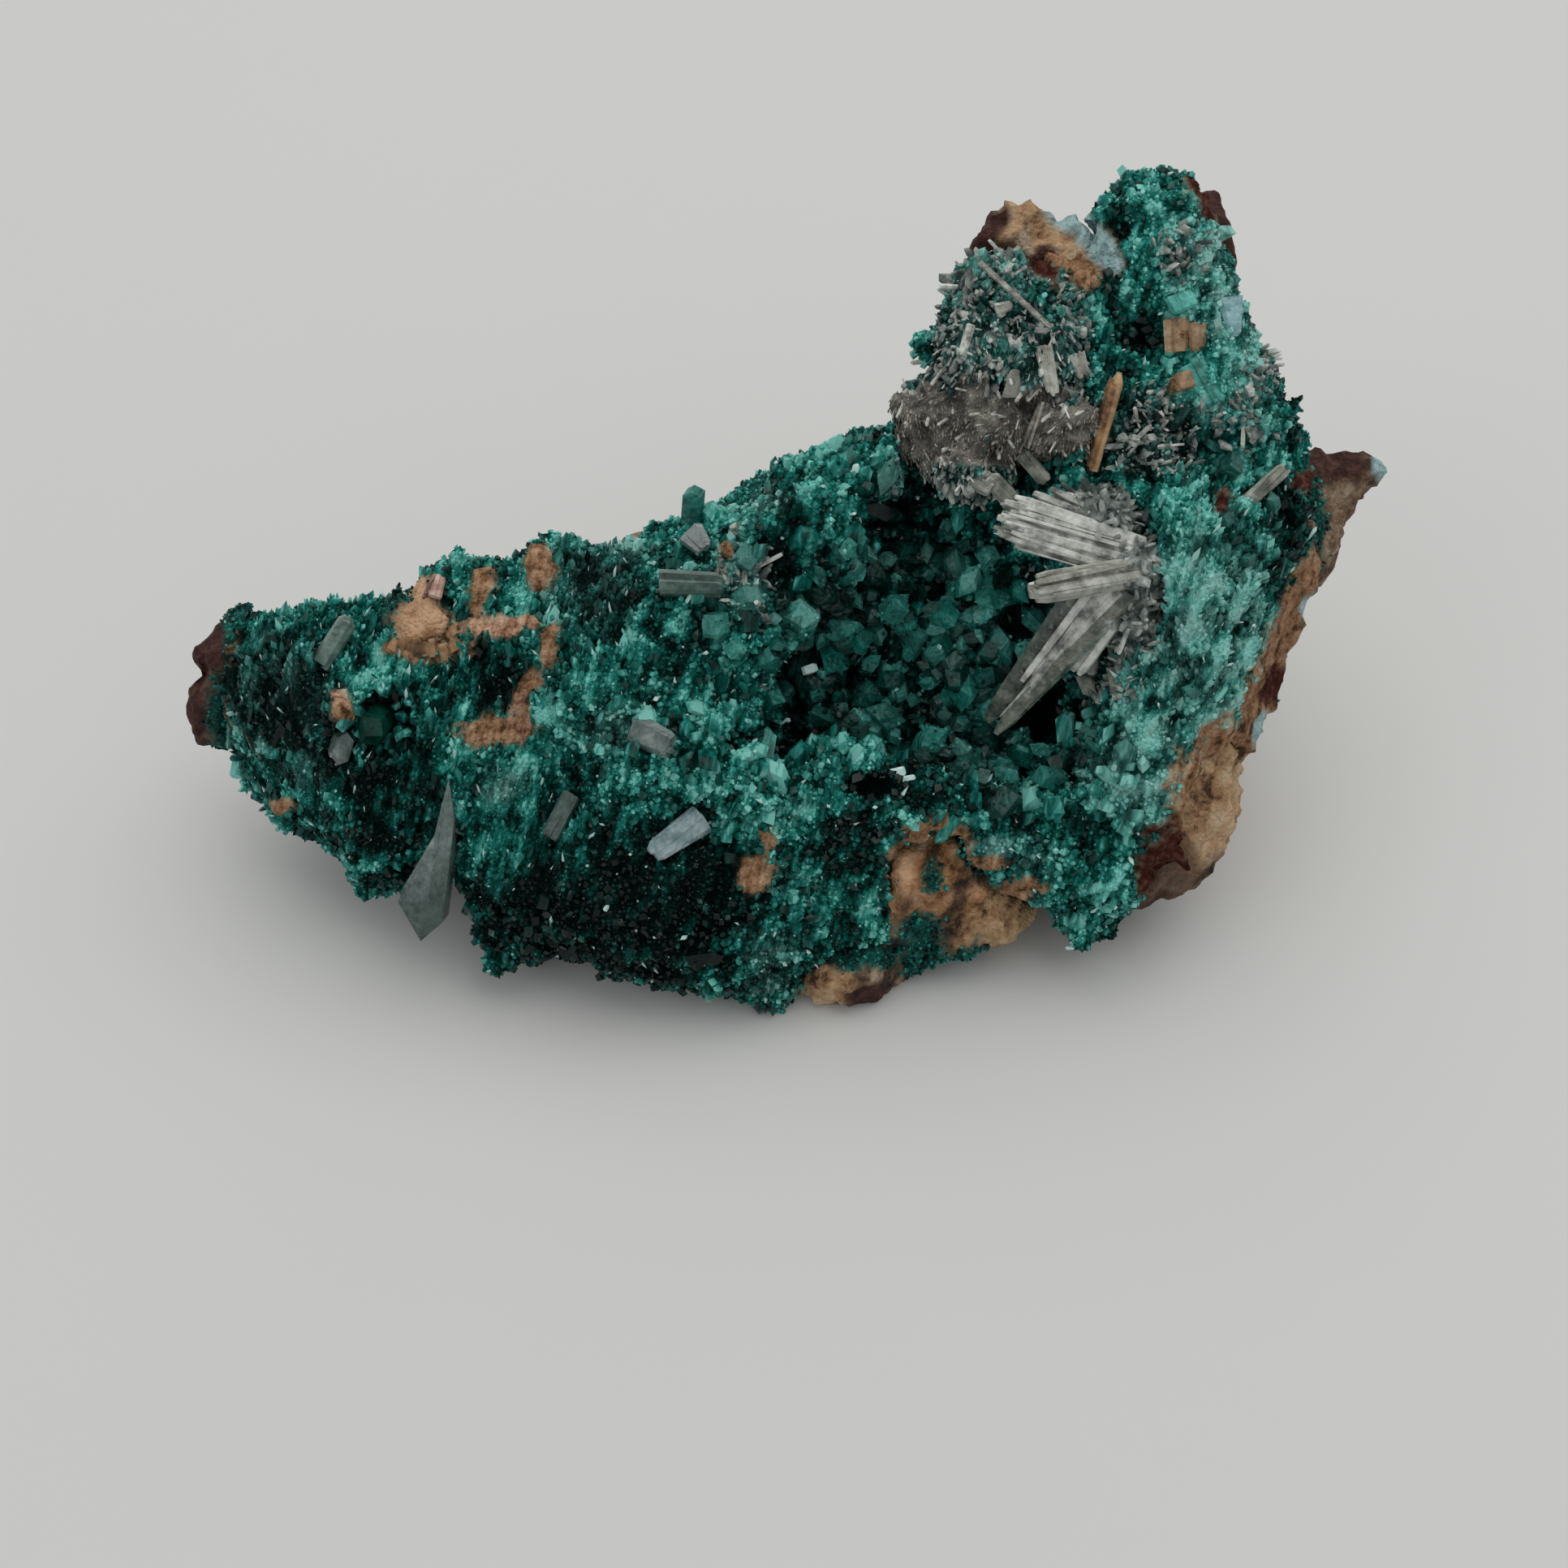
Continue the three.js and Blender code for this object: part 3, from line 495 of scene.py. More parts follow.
# Where its tones change: partly its own colour, partly painted highlight along the ridge's rim and
# painted shade low on the front, in the hollow and in recesses
BRIGHT_AND_HIGHLIT = [
    (25.2, 30.2, 0.8, 3), (28.6, 26.8, 2.2, 6), (-27, 23.3, 1.8, 0.6, 25), (-20, 18.7, 0.8, 0.9),
    (-14.6, 22.2, 1.4, 2.9, 10), (-16.3, 18.2, 2.1, 1.6), (-18.2, 15.2, 2.4, 0.9, 25),
    (-9.8, 20.8, 1.3, 1.1), (-3.5, 19, 2, 1.6), (-1.4, 16, 2.6, 1.5), (3.9, 19, 2.5, 1.6),
    (-3.5, 13.8, 2.1, 1), (-5.1, 16.3, 1.5, 1.3), (-3.2, 33.7, 2.1, 0.6, 5), (-6, 35.1, 0.5, 0.9),
    (4.1, 35.2, 1.4, 1.3), (10.7, 30.3, 1.4, 1.2, -40), (14.1, 15.2, 2.1, 0.9),
    (22.5, 20.6, 1.1, 3.2, 20), (25.4, 15.2, 1.5, 1.3), (22.6, 15.5, 2.1, 0.6, 10),
    (25.7, 33.7, 0.9, 3.1), (27.2, 20.6, 2.9, 1.3), (25.1, 46.9, 1, 0.7),
    (26.5, 42.9, 1.7, 1.2, -20), (27.7, 45.1, 0.7, 0.9), (23.3, 51.5, 1.1, 1.7),
    (30.8, 36.5, 1.9, 0.6, 40), (5.9, 8.7, 1, 2.2), (5.1, 4.5, 2.1, 0.9),
    (-29.7, 14.4, 1.8, 1, -35), (2.3, 14.7, 1.9, 1.1), (-4.8, 34.7, 2, 1.2), (-1.6, 35.2, 1.8, 1.2),
    (1.6, 37.2, 2.2, 1.4), (-11, 32.2, 2, 1.2), (29.4, 42, 1.6, 3.4), (26.6, 50.2, 1.2, 2.4),
    (-13.7, 26, 1.4, 1.3), (-1.9, 13.8, 1.4, 1.2), (27.2, 40.4, 1, 1.6), (24.6, 20, 1.4, 1.2),
    (30.2, 34.7, 1.4, 1.4), (26.8, 46.2, 1, 1.2),
]
LIGHTER = [
    (-1.9, 28.9, 1.8, 1.6), (25, 14.2, 1.6, 1.4), (1.4, 9.4, 1.6, 1.4), (-4.8, 34.9, 2.2, 1.4),
    (3.9, 37.6, 2.2, 1.4), (-29.7, 28.1, 3.1, 0.9), (-22, 31, 1.6, 1), (-3.5, 23, 2.4, 1.9),
    (-8.8, 16.3, 2.4, 1.6), (25.1, 27.4, 1.5, 3.1), (21.4, 20, 2.7, 1.6), (20.1, 9.8, 3.2, 2.7),
    (30, 30.6, 2.6, 3.6), (22, 54.2, 2.3, 1.5), (-17.1, 28.5, 1.6, 1.6), (-13.6, 32, 2, 1.2),
    (26.8, 49, 2.2, 4.5), (28, 42.5, 2.6, 4), (-1.9, 14, 1.6, 1.6), (-19.6, 26, 1.4, 1.2),
    (-34.3, 26.2, 1.6, 1.4), (27.5, 27, 6, 8.5), (25, 19, 6, 5), (20, 53, 3.6, 3.6),
    (22.5, 49, 4, 7), (26, 44, 4, 5), (27, 30, 4, 5), (-24, 24, 5, 3.5),
]
DARK_AND_SHADED = [
    (23.6, 39.2, 2.8, 2.4), (-12, 6.5, 8, 4.2), (-32.6, 21.6, 2.6, 2.4), (-27.5, 15.5, 3.2, 3.2),
    (-18.8, 23.7, 2.2, 1.8), (-12.1, 29.3, 2, 2.6), (-10.5, 10, 3.6, 3), (-16, 7.5, 6.5, 3.2),
    (-5.2, 9.2, 3.2, 3.3), (4.5, 13, 2.2, 2.7), (1.8, 21.6, 1.6, 2.7), (7.1, 21.6, 3.2, 1.9),
    (12.9, 20.6, 2.1, 3.2), (9.8, 16.5, 3.2, 1.9), (14.9, 27.4, 1.3, 2.9), (14.6, 44.8, 2.3, 1.6),
    (20.8, 50.8, 1.1, 2.2), (22, 45.3, 1.1, 2.4), (33, 33.2, 2.1, 2.6), (-0.3, 31.1, 1.1, 3.1),
    (17.8, 17.4, 2.1, 1.2), (-34.6, 23.8, 2.6, 3.2),
]
DARKER_AND_SHADED = [
    (-10.5, 8.5, 7.5, 5), (-31, 20.5, 3, 3), (-23.8, 21.6, 2.6, 2.6), (-26.2, 11.6, 2.4, 2.2),
    (-14.6, 13.6, 2.8, 1.8), (-2, 3.4, 2.4, 2.8), (1.1, 25.6, 1.6, 1.8), (1.1, 17, 1.4, 1.6),
    (29.6, 26, 2.2, 1.8), (-2, 1.9, 1.8, 1.2),
]
GREYED = [
    (-34.1, 22.2, 4.2, 3.7), (-12.4, 29.5, 2.6, 3.1), (-2.7, 29.8, 1.7, 2.6),
    (-5.5, 29.9, 2.6, 0.8), (-11.4, 20.3, 1.8, 1.3), (13.9, 50, 3, 2.6), (12.7, 46.8, 3.4, 3),
    (17.9, 45.8, 1.5, 2.5), (25.1, 50.3, 1.4, 2.5), (24, 39.3, 3.6, 2.3), (29.8, 41.8, 1.1, 2.5),
    (-31.2, 17.6, 1.2, 1.6), (7, 36.2, 1.3, 1.6), (-0.9, 4.2, 1.6, 2), (15.2, 11.9, 2.7, 1.1),
    (22.6, 17.4, 1.6, 1.6), (-18.4, 16.3, 1.6, 1.2), (6.5, 25.9, 2.6, 2.6), (11.3, 43.3, 1.5, 1.3),
    (27.5, 26, 5, 7.5), (27.2, 48.8, 1.6, 3.6), (29.6, 42.6, 1.6, 3.6), (-1.9, 35.2, 2.6, 1),
    (-10.8, 32, 2.4, 1), (24, 18, 4, 4),
]
# Where rock or its stain shows
STAINED = [
    (25.2, 11.2, 1.5, 2.4), (-23.2, 25.5, 2.5, 1), (-23, 26.6, 1.7, 1.5), (-22.6, 28.6, 0.8, 1.4),
    (-19.6, 29.4, 0.7, 1.6, -20), (-18.2, 27, 2.9, 0.7, 6), (-15.7, 30.6, 1, 1.5),
    (-16.4, 23.3, 0.7, 0.7), (-15.3, 25.6, 0.5, 1.7, -15), (-18.8, 20, 2.4, 1),
    (-17.2, 21.1, 0.6, 1.9), (-29, 21.7, 0.7, 1.3), (-33.1, 15, 1, 0.6), (-1.9, 10.5, 1.1, 1.4),
    (-1.1, 12.6, 0.6, 1.1, -20), (8.2, 10, 1.3, 3.2), (9.9, 12.9, 2.2, 1.4), (11.2, 10.6, 1.3, 1.4),
    (13.4, 11, 1.4, 0.6), (14.1, 8.1, 2.9, 1.2, 30), (4.6, 2.8, 3.3, 0.8, 12), (-3.8, 32, 0.5, 0.5),
    (25.4, 45.1, 1.1, 1), (24.9, 42.3, 0.5, 0.6), (27.6, 15.2, 2.4, 3.8),
    (28.9, 18.6, 1.7, 2.6, -15),
]
SALMON = [
    (-18.2, 27, 2.9, 0.7, 6), (-22.5, 28.6, 0.8, 1), (-29, 22.1, 0.7, 0.7), (-17.2, 21.1, 0.6, 1.9),
]
RUSTY = [
    (25.2, 11, 1.8, 2.8), (26.9, 53.6, 1.2, 2.6, 35), (28.6, 51, 0.8, 1.6, 25),
    (12.9, 51.6, 1.2, 0.8, 40), (16.2, 49.6, 0.5, 1.6, 40), (28.2, 35, 0.6, 0.9),
    (33.4, 36.2, 1, 0.8), (-37.6, 22, 0.8, 2.2, 10), (32.2, 23, 0.8, 1.3, -10),
    (-36.6, 26.6, 1, 1.7),
]
BROWN_EDGE = [
    (35.4, 32.8, 1.3, 1.7, -30), (34.4, 30.4, 1.2, 1.9, -25), (33.4, 28.2, 1.1, 1.8, -20),
    (32.6, 26, 1.1, 1.9, -15), (31.9, 24, 1.2, 1.9, -12), (31.1, 21.8, 1.2, 1.9, -10),
    (30.3, 19, 1.3, 2.2, -8),
]
KNOB_BAND = [(16.7, 51, 1.1, 2, 40), (18.6, 49.5, 1, 1.9, 40)]
BLUE_FACETS = [
    (17.8, 52.8, 1, 1.8, 42), (19.8, 50.7, 0.9, 2.2, 40), (31.3, 19.8, 0.5, 1.5, -8),
    (34.1, 28, 0.5, 0.9, -20),
]
# Where its form changes: pits, knobs, the ridge's dip, streaks and blocky crystals
PITS = [
    (1, 22.2, 1, 2.5), (-2.7, 19.7, 1.2, 0.5), (8.3, 33.3, 2.6, 1.5), (17.1, 22.2, 2.2, 3.2),
    (15.5, 25.9, 0.9, 2.6), (11.1, 35.7, 3.1, 0.9), (15, 36.2, 2.6, 1), (14.6, 44.6, 1.4, 1),
    (5.4, 16.4, 1.6, 0.9),
]
RAISED = [(-29.1, 21.6, 0.8, 1.1), (-22.6, 29.3, 0.8, 0.9), (-15.7, 30.6, 1, 1.5)]
PRESSED = [(-14.8, 34.4, 1.4, 1.6), (-17, 34.6, 1.4, 1.2)]
STREAKED = [(-27, 21, 13, 10), (29, 27, 7, 11), (-17, 14, 4, 4), (-13, 28, 4, 5)]
BLOCKY = [
    (6, 29.5, 5.8, 6.7), (8.7, 23.8, 5.8, 4.7), (-3.5, 28.5, 3.1, 4.2), (-3.5, 20, 3.2, 3.2),
    (3.9, 19, 3.2, 1.9), (-9.9, 20, 4.2, 2.1), (19.4, 16.8, 4.8, 3.8), (14.1, 15.2, 3.2, 1.6),
    (3.8, 37.3, 2.6, 1.8), (11.2, 31.1, 2.6, 3.1),
]
GREY_STOPS = ((0.1, (0.006, 0.03, 0.026)), (0.55, (0.08, 0.20, 0.178)), (1.0, (0.42, 0.64, 0.59)))

crust, tree, shader = new_material("dioptase crust")
speckle, height = grain_in(tree, 1500, 2.0)
fine_speckle, _ = grain_in(tree, 4000, 2.0)
streak = streak_in(tree, 2000, 1.7)
lit = plus(painted(tree, "tone"), times(speckle, 0.34), times(fine_speckle, 0.22), streak)
green = ramp_of(minus(lit, 0.32), *GREEN_STOPS)
grey = ramp_of(minus(lit, 0.3), *GREY_STOPS)
green = blend_of(times(painted(tree, "pale"), 0.6), green, grey)
uneven = plus(speckle, streak)
stain = ramp_of(
    uneven, (0.1, (0.08, 0.045, 0.022)), (0.45, (0.34, 0.185, 0.098)), (1.0, (0.60, 0.40, 0.255))
)
pink = ramp_of(
    uneven, (0.1, (0.15, 0.06, 0.04)), (0.42, (0.42, 0.23, 0.14)), (1.0, (0.72, 0.50, 0.36))
)
dark_rust = ramp_of(
    speckle, (0.1, (0.02, 0.005, 0.004)), (0.5, (0.07, 0.02, 0.014)), (1.0, (0.20, 0.11, 0.08))
)
stain = blend_of(painted(tree, "salmon"), stain, pink)
stain = blend_of(painted(tree, "rusty"), stain, dark_rust)
stain = blend_of(painted(tree, "blue"), stain, ramp_of(speckle, *BLUE_STOPS))
feed(
    shader,
    base_color=blend_of(painted(tree, "stained"), green, stain),
    roughness=plus(times(painted(tree, "stained"), 0.45), 0.42),
    specular_ior_level=0.06,
    normal=rough_skin(height, 0.4),
)

ground = fine_copy("dioptase_crust", "dioptase_druse", CRUST_CELL)
points, outwards = surface_of(ground.data)
spots = seen_from_front(points)
facing = outwards @ FACE_AXES[2]
wobble = 0.4 * knobs(points, 0.7, 13)
pitted = patches(spots, PITS, wobble, 0.6) * ramp(facing, 0.0, 0.4)
ragged = wobble + 0.35 * knobs(points, 2.0, 14)
brown = patches(spots, BROWN_EDGE, ragged, 0.4)
rusty = patches(spots, RUSTY, ragged, 0.3)
blue_share = patches(spots, BLUE_FACETS, 0.4 * wobble, 0.3)
stained = patches(spots, STAINED, ragged, 0.3) * ramp(facing, -0.1, 0.3)
banded = patches(spots, KNOB_BAND, 0.5 * ragged, 0.3)
stained = np.maximum.reduce([stained, rusty, brown, blue_share, banded])
blocky = patches(spots, BLOCKY, wobble, 0.6)
streaked = patches(spots, STREAKED, wobble, 0.5) * (1 - blocky)
tone = 0.33 + 0.12 * knobs(points, 0.22, 17) + 0.42 * ramp(knobs(points, 0.75, 19), -0.4, 0.42)
tone += 0.2 * knobs(points, 1.7, 20)
# Painted highlight and painted shade mixed with its own tone: lighter patches are added, dark
# patches and pits taken away
tone += 0.24 * patches(spots, BRIGHT_AND_HIGHLIT, wobble, 0.8) + 0.14 * patches(spots, LIGHTER, wobble, 0.8)
tone -= 0.42 * patches(spots, DARK_AND_SHADED, wobble, 0.9) + 0.5 * pitted
tone -= 0.2 * patches(spots, DARKER_AND_SHADED, wobble, 0.9)
pale = patches(spots, GREYED, wobble, 0.8) * (0.3 + 0.6 * ramp(knobs(points, 1.0, 23), -0.2, 0.3))
leaning = to_face(points) @ [[0.97, 0.24, 0], [-0.24, 0.97, 0], [0, 0, 1]]
ridges = knobs(leaning * [1.0, 0.22, 0.7] * MM, 1.1, 33)
lumps = 0.45 * knobs(points, 0.38, 29) + 0.42 * knobs(points, 0.9, 31)
lumps += 0.6 * (0.45 - cells(points, 0.9, 35)) * (1 - streaked) + 0.5 * ridges * streaked
lumps *= 1 - 0.7 * blue_share
relief = lumps - 0.35 - 1.2 * pitted + 0.25 * stained - 0.3 * blue_share
relief += 0.8 * patches(spots, RAISED, 0.3 * wobble, 0.8)
# Painted shade and highlight: darker down between the lumps and streaks, lighter on their tops
tone += 0.3 * lumps + 0.16 * ridges * streaked
# Nothing grows where the crust lies on the rock or under the hollow's lining
hidden = 1 - ramp(facing, -0.45, -0.1)
hidden *= ramp(distance_to("gossan_rock", points), 1.3, 0.9)
near_lining = ramp(distance_to("hollow_crystals", points), 0.45, 0.3)
bare = np.maximum(hidden, near_lining)
open_ground = (1 - stained) ** 2 * (1 - bare)
covered = (open_ground * (1 - 0.6 * pitted)).astype(np.float32)
points = points + outwards * (relief * MM)[:, None]
lowered = patches(spots, PRESSED, 0, 0.6)[:, None] * [0, -1.4 * MM, 0]
points += lowered @ FACE_AXES
move_corners(ground.data, points)
UP_THE_FACE = np.array([0.28, 0.92, 0.1]) @ FACE_AXES
blocks = np.maximum(blocky, 0.4 * ramp(knobs(points, 0.5, 36), 0.1, 0.4))
write_values(
    ground.data,
    tone=tone,
    pale=pale,
    stained=stained,
    salmon=patches(spots, SALMON, wobble, 0.3),
    rusty=np.maximum(rusty, 0.2 * brown),
    blue=blue_share,
    middling=open_ground * (1 - 0.8 * pitted),
    blocks=blocks * (1 - stained) * (1 - bare) * (1 - 0.8 * pitted) * (1 - streaked),
    grow=0.8 + 0.5 * ramp(knobs(points, 0.35, 37), -0.5, 0.6) + 0.1 * blocky,
    slim=streaked,
    lie=(0.3 + 1.1 * streaked)[:, None] * UP_THE_FACE,
)
seat(ground, "dioptase", crust, "dioptase_druse")

# The druse's small crystals. Tens of thousands of short six-sided dioptase prisms with blunt
# three-faced tips, grown outwards from the crust, most under a millimetre. On the left arm and the
# right flank they lie in streaks that run up the face.

SIXTHS = [math.radians(60 * i) for i in range(6)]
DIOPTASE_IOR = 1.66


def crystal_shape(cap=0.2, unequal=0.0):
    """Corners and faces of a six-sided prism of radius 1 and height 1, with a three-faced tip."""
    reach = [1 + unequal * math.sin(2.3 * i + 1) for i in range(6)]
    ring = [(reach[i] * math.cos(t), reach[i] * math.sin(t)) for i, t in enumerate(SIXTHS)]
    below = [(x, y, 0.0) for x, y in ring]
    above = [(x, y, 1 - cap * (1 + i % 2)) for i, (x, y) in enumerate(ring)]
    faces = [tuple(range(5, -1, -1))]
    faces += [(i, (i + 1) % 6, 6 + (i + 1) % 6, 6 + i) for i in range(6)]
    faces += [(12, 6 + i, 6 + (i + 1) % 6, 6 + (i + 2) % 6) for i in (0, 2, 4)]
    return np.array([*below, *above, (0.0, 0.0, 1.0)]), faces


def blunt_shape(shoulder=0.78):
    """A stretched rhombohedron of radius 1 and height 1, for the smallest crystals."""
    heights = [shoulder if i % 2 else 2 * shoulder - 1 for i in range(6)]
    ring = [(math.cos(t), math.sin(t), z) for t, z in zip(SIXTHS, heights)]
    faces = [(7, i, (i + 1) % 6, (i + 2) % 6) for i in (1, 3, 5)]
    faces += [(6, (i + 2) % 6, (i + 1) % 6, i) for i in (0, 2, 4)]
    return np.array([*ring, (0.0, 0.0, 0.0), (0.0, 0.0, 1.0)]), faces


def grain_shape(waist=0.3):
    """An eight-faced grain of radius 1 and height 1."""
    ring = [(math.cos(t), 0.8 * math.sin(t), waist) for t in (0.2, 1.7, 3.4, 4.9)]
    faces = [(i, (i + 1) % 4, 5) for i in range(4)] + [((i + 1) % 4, i, 4) for i in range(4)]
    return np.array([*ring, (0.0, 0.0, 0.0), (0.15, 0.1, 1.0)]), faces


def shape_shelf(name, sunk, *shapes):
    """A collection outside the scene, of the shapes that a scatter picks from, sunk by a share."""
    shelf = bpy.data.collections.new(name)
    for i, (corners, faces) in enumerate(shapes):
        corners = corners - [0, 0, sunk]
        mesh = bpy.data.meshes.new(f"{name}_{i}")
        mesh.from_pydata([tuple(c) for c in corners], [], faces)
        write_values(mesh, tip=np.clip(corners[:, 2], 0, 1))
        shelf.objects.link(bpy.data.objects.new(f"{name}_{i}", mesh))
    return shelf


CROWDING = 1.6  # places offered for a crystal in each square of the spacing
SCATTER_INPUTS = {
    "Geometry": "Geometry", "Shapes": "Collection", "Cover": "String", "Spacing": "Float",
    "Width": "Float", "Length": "Float", "Unruly": "Float", "Seed": "Int", "Material": "Material",
}


def scatter_tree():
    """Crystals standing on a surface, thick where the surface's painted values say."""
    made = bpy.data.node_groups.new("Crystals on a crust", "GeometryNodeTree")
    for name, kind in SCATTER_INPUTS.items():
        made.interface.new_socket(name, in_out="INPUT", socket_type="NodeSocket" + kind)
    made.interface.new_socket("Geometry", in_out="OUTPUT", socket_type="NodeSocketGeometry")
    given = node(made, "NodeGroupInput").outputs
    spacing = given["Spacing"]

    def step(kind, settings=None, **inputs):
        return node(made, kind, settings, **inputs).outputs[0]

    def value_of(name, kind="FLOAT"):
        got = node(made, "GeometryNodeInputNamedAttribute", {"data_type": kind}, name=name)
        return socket_of(got.outputs, "attribute")

    def chance(low, high, shift, kind="FLOAT"):
        settings, seed = {"data_type": kind}, plus(given["Seed"], shift)
        got = node(made, "FunctionNodeRandomValue", settings, min=low, max=high, seed=seed)
        return socket_of(got.outputs, "value")

    spread = node(
        made,
        "GeometryNodeDistributePointsOnFaces",
        {"distribute_method": "POISSON"},
        mesh=given["Geometry"],
        distance_min=spacing,
        density_max=reckon("DIVIDE", CROWDING, times(spacing, spacing)),
        density_factor=value_of(given["Cover"]),
        seed=given["Seed"],
    ).outputs
    stray = step(
        "ShaderNodeVectorMath",
        {"operation": "SCALE"},
        vector=chance((-1, -1, -1), (1, 1, 1), 1, "FLOAT_VECTOR"),
        scale=given["Unruly"],
    )
    along = spread["Normal"]
    for pull in (value_of("lie", "FLOAT_VECTOR"), stray):
        added = node(made, "ShaderNodeVectorMath", {"operation": "ADD"})
        plug(added.inputs[0], along)
        plug(added.inputs[1], pull)
        along = added.outputs[0]
    spin = step("FunctionNodeAxisAngleToRotation", axis=(0, 0, 1), angle=chance(0.0, 6.283, 2))
    slim, luck = value_of("slim"), chance(0.0, 1.0, 3)
    size = times(value_of("grow"), plus(0.65, times(luck, luck, luck)))
    width = times(size, given["Width"], minus(1.0, times(slim, 0.25)))
    length = times(size, given["Length"], chance(0.7, 1.3, 4), plus(1.0, times(slim, 0.45)))
    stood = step(
        "GeometryNodeInstanceOnPoints",
        points=spread["Points"],
        instance=step(
            "GeometryNodeCollectionInfo",
            collection=given["Shapes"],
            separate_children=True,
            reset_children=True,
        ),
        pick_instance=True,
        instance_index=chance(0, 99, 5, "INT"),
        rotation=step(
            "FunctionNodeAlignRotationToVector", {"axis": "Z"}, rotation=spin, vector=along
        ),
        scale=step("ShaderNodeCombineXYZ", x=width, y=width, z=length),
    )
    marked = step(
        "GeometryNodeStoreNamedAttribute",
        {"data_type": "FLOAT", "domain": "INSTANCE"},
        geometry=stood,
        name="chance",
        value=chance(0.0, 1.0, 6),
    )
    real = step("GeometryNodeRealizeInstances", geometry=marked)
    done = step("GeometryNodeSetMaterial", geometry=real, material=given["Material"])
    node(made, "NodeGroupOutput", geometry=done)
    return made


crystals_on_crust = scatter_tree()
KEPT_VALUES = {"position", "sharp_face", "tone", "pale", "tip", "chance", "material_index"}


def scatter(name, surface, slot, shapes, cover, spacing, width, length, unruly, seed, finish):
    """One piece of crystals grown on a surface, as a plain mesh that rides with it; sizes in mm."""
    holder = add_object(name, surface.data.copy())
    grower = holder.modifiers.new("grow", "NODES")
    grower.node_group = crystals_on_crust
    sizes = (spacing * MM, width * MM, length * MM)
    given = dict(zip(list(SCATTER_INPUTS)[1:], (shapes, cover, *sizes, unruly, seed, finish)))
    for item in crystals_on_crust.interface.items_tree:
        if item.in_out == "INPUT" and item.name in given:
            grower[item.identifier] = given[item.name]
    plain_mesh(holder)
    mesh = holder.data
    for layer in [a.name for a in mesh.attributes]:
        if layer not in KEPT_VALUES and not layer.startswith("."):
            mesh.attributes.remove(mesh.attributes[layer])
    move_corners(mesh, corners_of(mesh))
    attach(holder, "root")


def green_crystal_material(name, transmission, roughness):
    made, tree, shader = new_material(name)
    chance = times(minus(painted(tree, "chance"), 0.5), 0.5)
    # Painted highlight: each crystal is painted lighter towards its tip
    lit = plus(painted(tree, "tone"), chance, times(painted(tree, "tip"), 0.16))
    lit = plus(lit, streak_in(tree, 2000, 1.7))
    green, grey = ramp_of(minus(lit, 0.02), *GREEN_STOPS), ramp_of(lit, *GREY_STOPS)
    feed(
        shader,
        base_color=blend_of(times(painted(tree, "pale"), plus(chance, 0.6)), green, grey),
        roughness=roughness,
        ior=DIOPTASE_IOR,
        specular_ior_level=0.06,
        transmission_weight=transmission,
    )
    return made


small_green = green_crystal_material("dioptase small crystals", 0.1, 0.3)
small_shapes = shape_shelf(
    "small_crystal", 0.35, blunt_shape(0.72), blunt_shape(0.84), grain_shape(0.45), grain_shape(0.6)
)
larger_shapes = shape_shelf(
    "larger_crystal",
    0.35,
    crystal_shape(0.2, 0.3),
    crystal_shape(0.12, 0.2),
    crystal_shape(0.3, 0.4),
    crystal_shape(0.24, 0.3),
)
at = to_face(points)
middle = (at[:, 0] >= -19) & (at[:, 0] < 10)
ZONES = {
    "arm": at[:, 0] < -19,
    "shoulder": middle & (at[:, 1] >= 20),
    "front": middle & (at[:, 1] < 20),
    "flank": (at[:, 0] >= 10) & (at[:, 1] < 36),
    "tower": (at[:, 0] >= 10) & (at[:, 1] >= 36),
}
# A scatter's numbers are its spacing, width, length, unruliness and seed
for seed, (zone, belongs) in enumerate(ZONES.items(), 1):
    write_values(ground.data, here=covered * belongs)
    name = "dioptase_crystals_" + zone
    growth = (small_shapes, "here", 0.25, 0.15, 0.32, 0.8, seed, small_green)
    scatter(name, ground, "dioptase", *growth)
growth = (small_shapes, "here", 0.24, 0.13, 0.42, 0.8, 9, small_green)
scatter("gossan_rock_green_crystals", rock, "dioptase", *growth)

# Crystals of half a millimetre to a millimetre in clusters between the fine ones, and the larger,
# clearer ones of 1 to 2 mm in the blocky parts round the hollow
larger_green = green_crystal_material("dioptase larger crystals", 0.25, 0.15)
middling_shapes = shape_shelf(
    "middling_crystal", 0.45, blunt_shape(0.66), blunt_shape(0.8), crystal_shape(0.2, 0.3)
)
growth = (middling_shapes, "middling", 0.42, 0.22, 0.66, 0.8, 11, larger_green)
scatter("dioptase_middling_crystals", ground, "dioptase", *growth)
growth = (larger_shapes, "blocks", 0.95, 0.42, 1.5, 0.7, 21, larger_green)
scatter("dioptase_larger_crystals", ground, "dioptase", *growth)

# Painted highlights: tiny faces coloured near white, as sparkles all over the druse
painted_glint, tree, shader = new_material("painted glint facets")
speckle, height = grain_in(tree, 2000, 1.0)
feed(
    shader,
    base_color=ramp_of(speckle, (0.2, (0.30, 0.62, 0.56)), (0.8, (0.80, 0.93, 0.90))),
    roughness=0.08,
    normal=rough_skin(height, 0.05, 0.3),
)
growth = (small_shapes, "middling", 1.2, 0.1, 0.6, 0.9, 13, painted_glint)
scatter("dioptase_glints", ground, "clear_crystal", *growth)

# The hollow. An opening in the druse, lined with crust painted near-black as the hollow's shade and
# half filled by a jumble of clear dark green crystals up to a few millimetres, with gaps left
# between them that are painted darker still as shade.

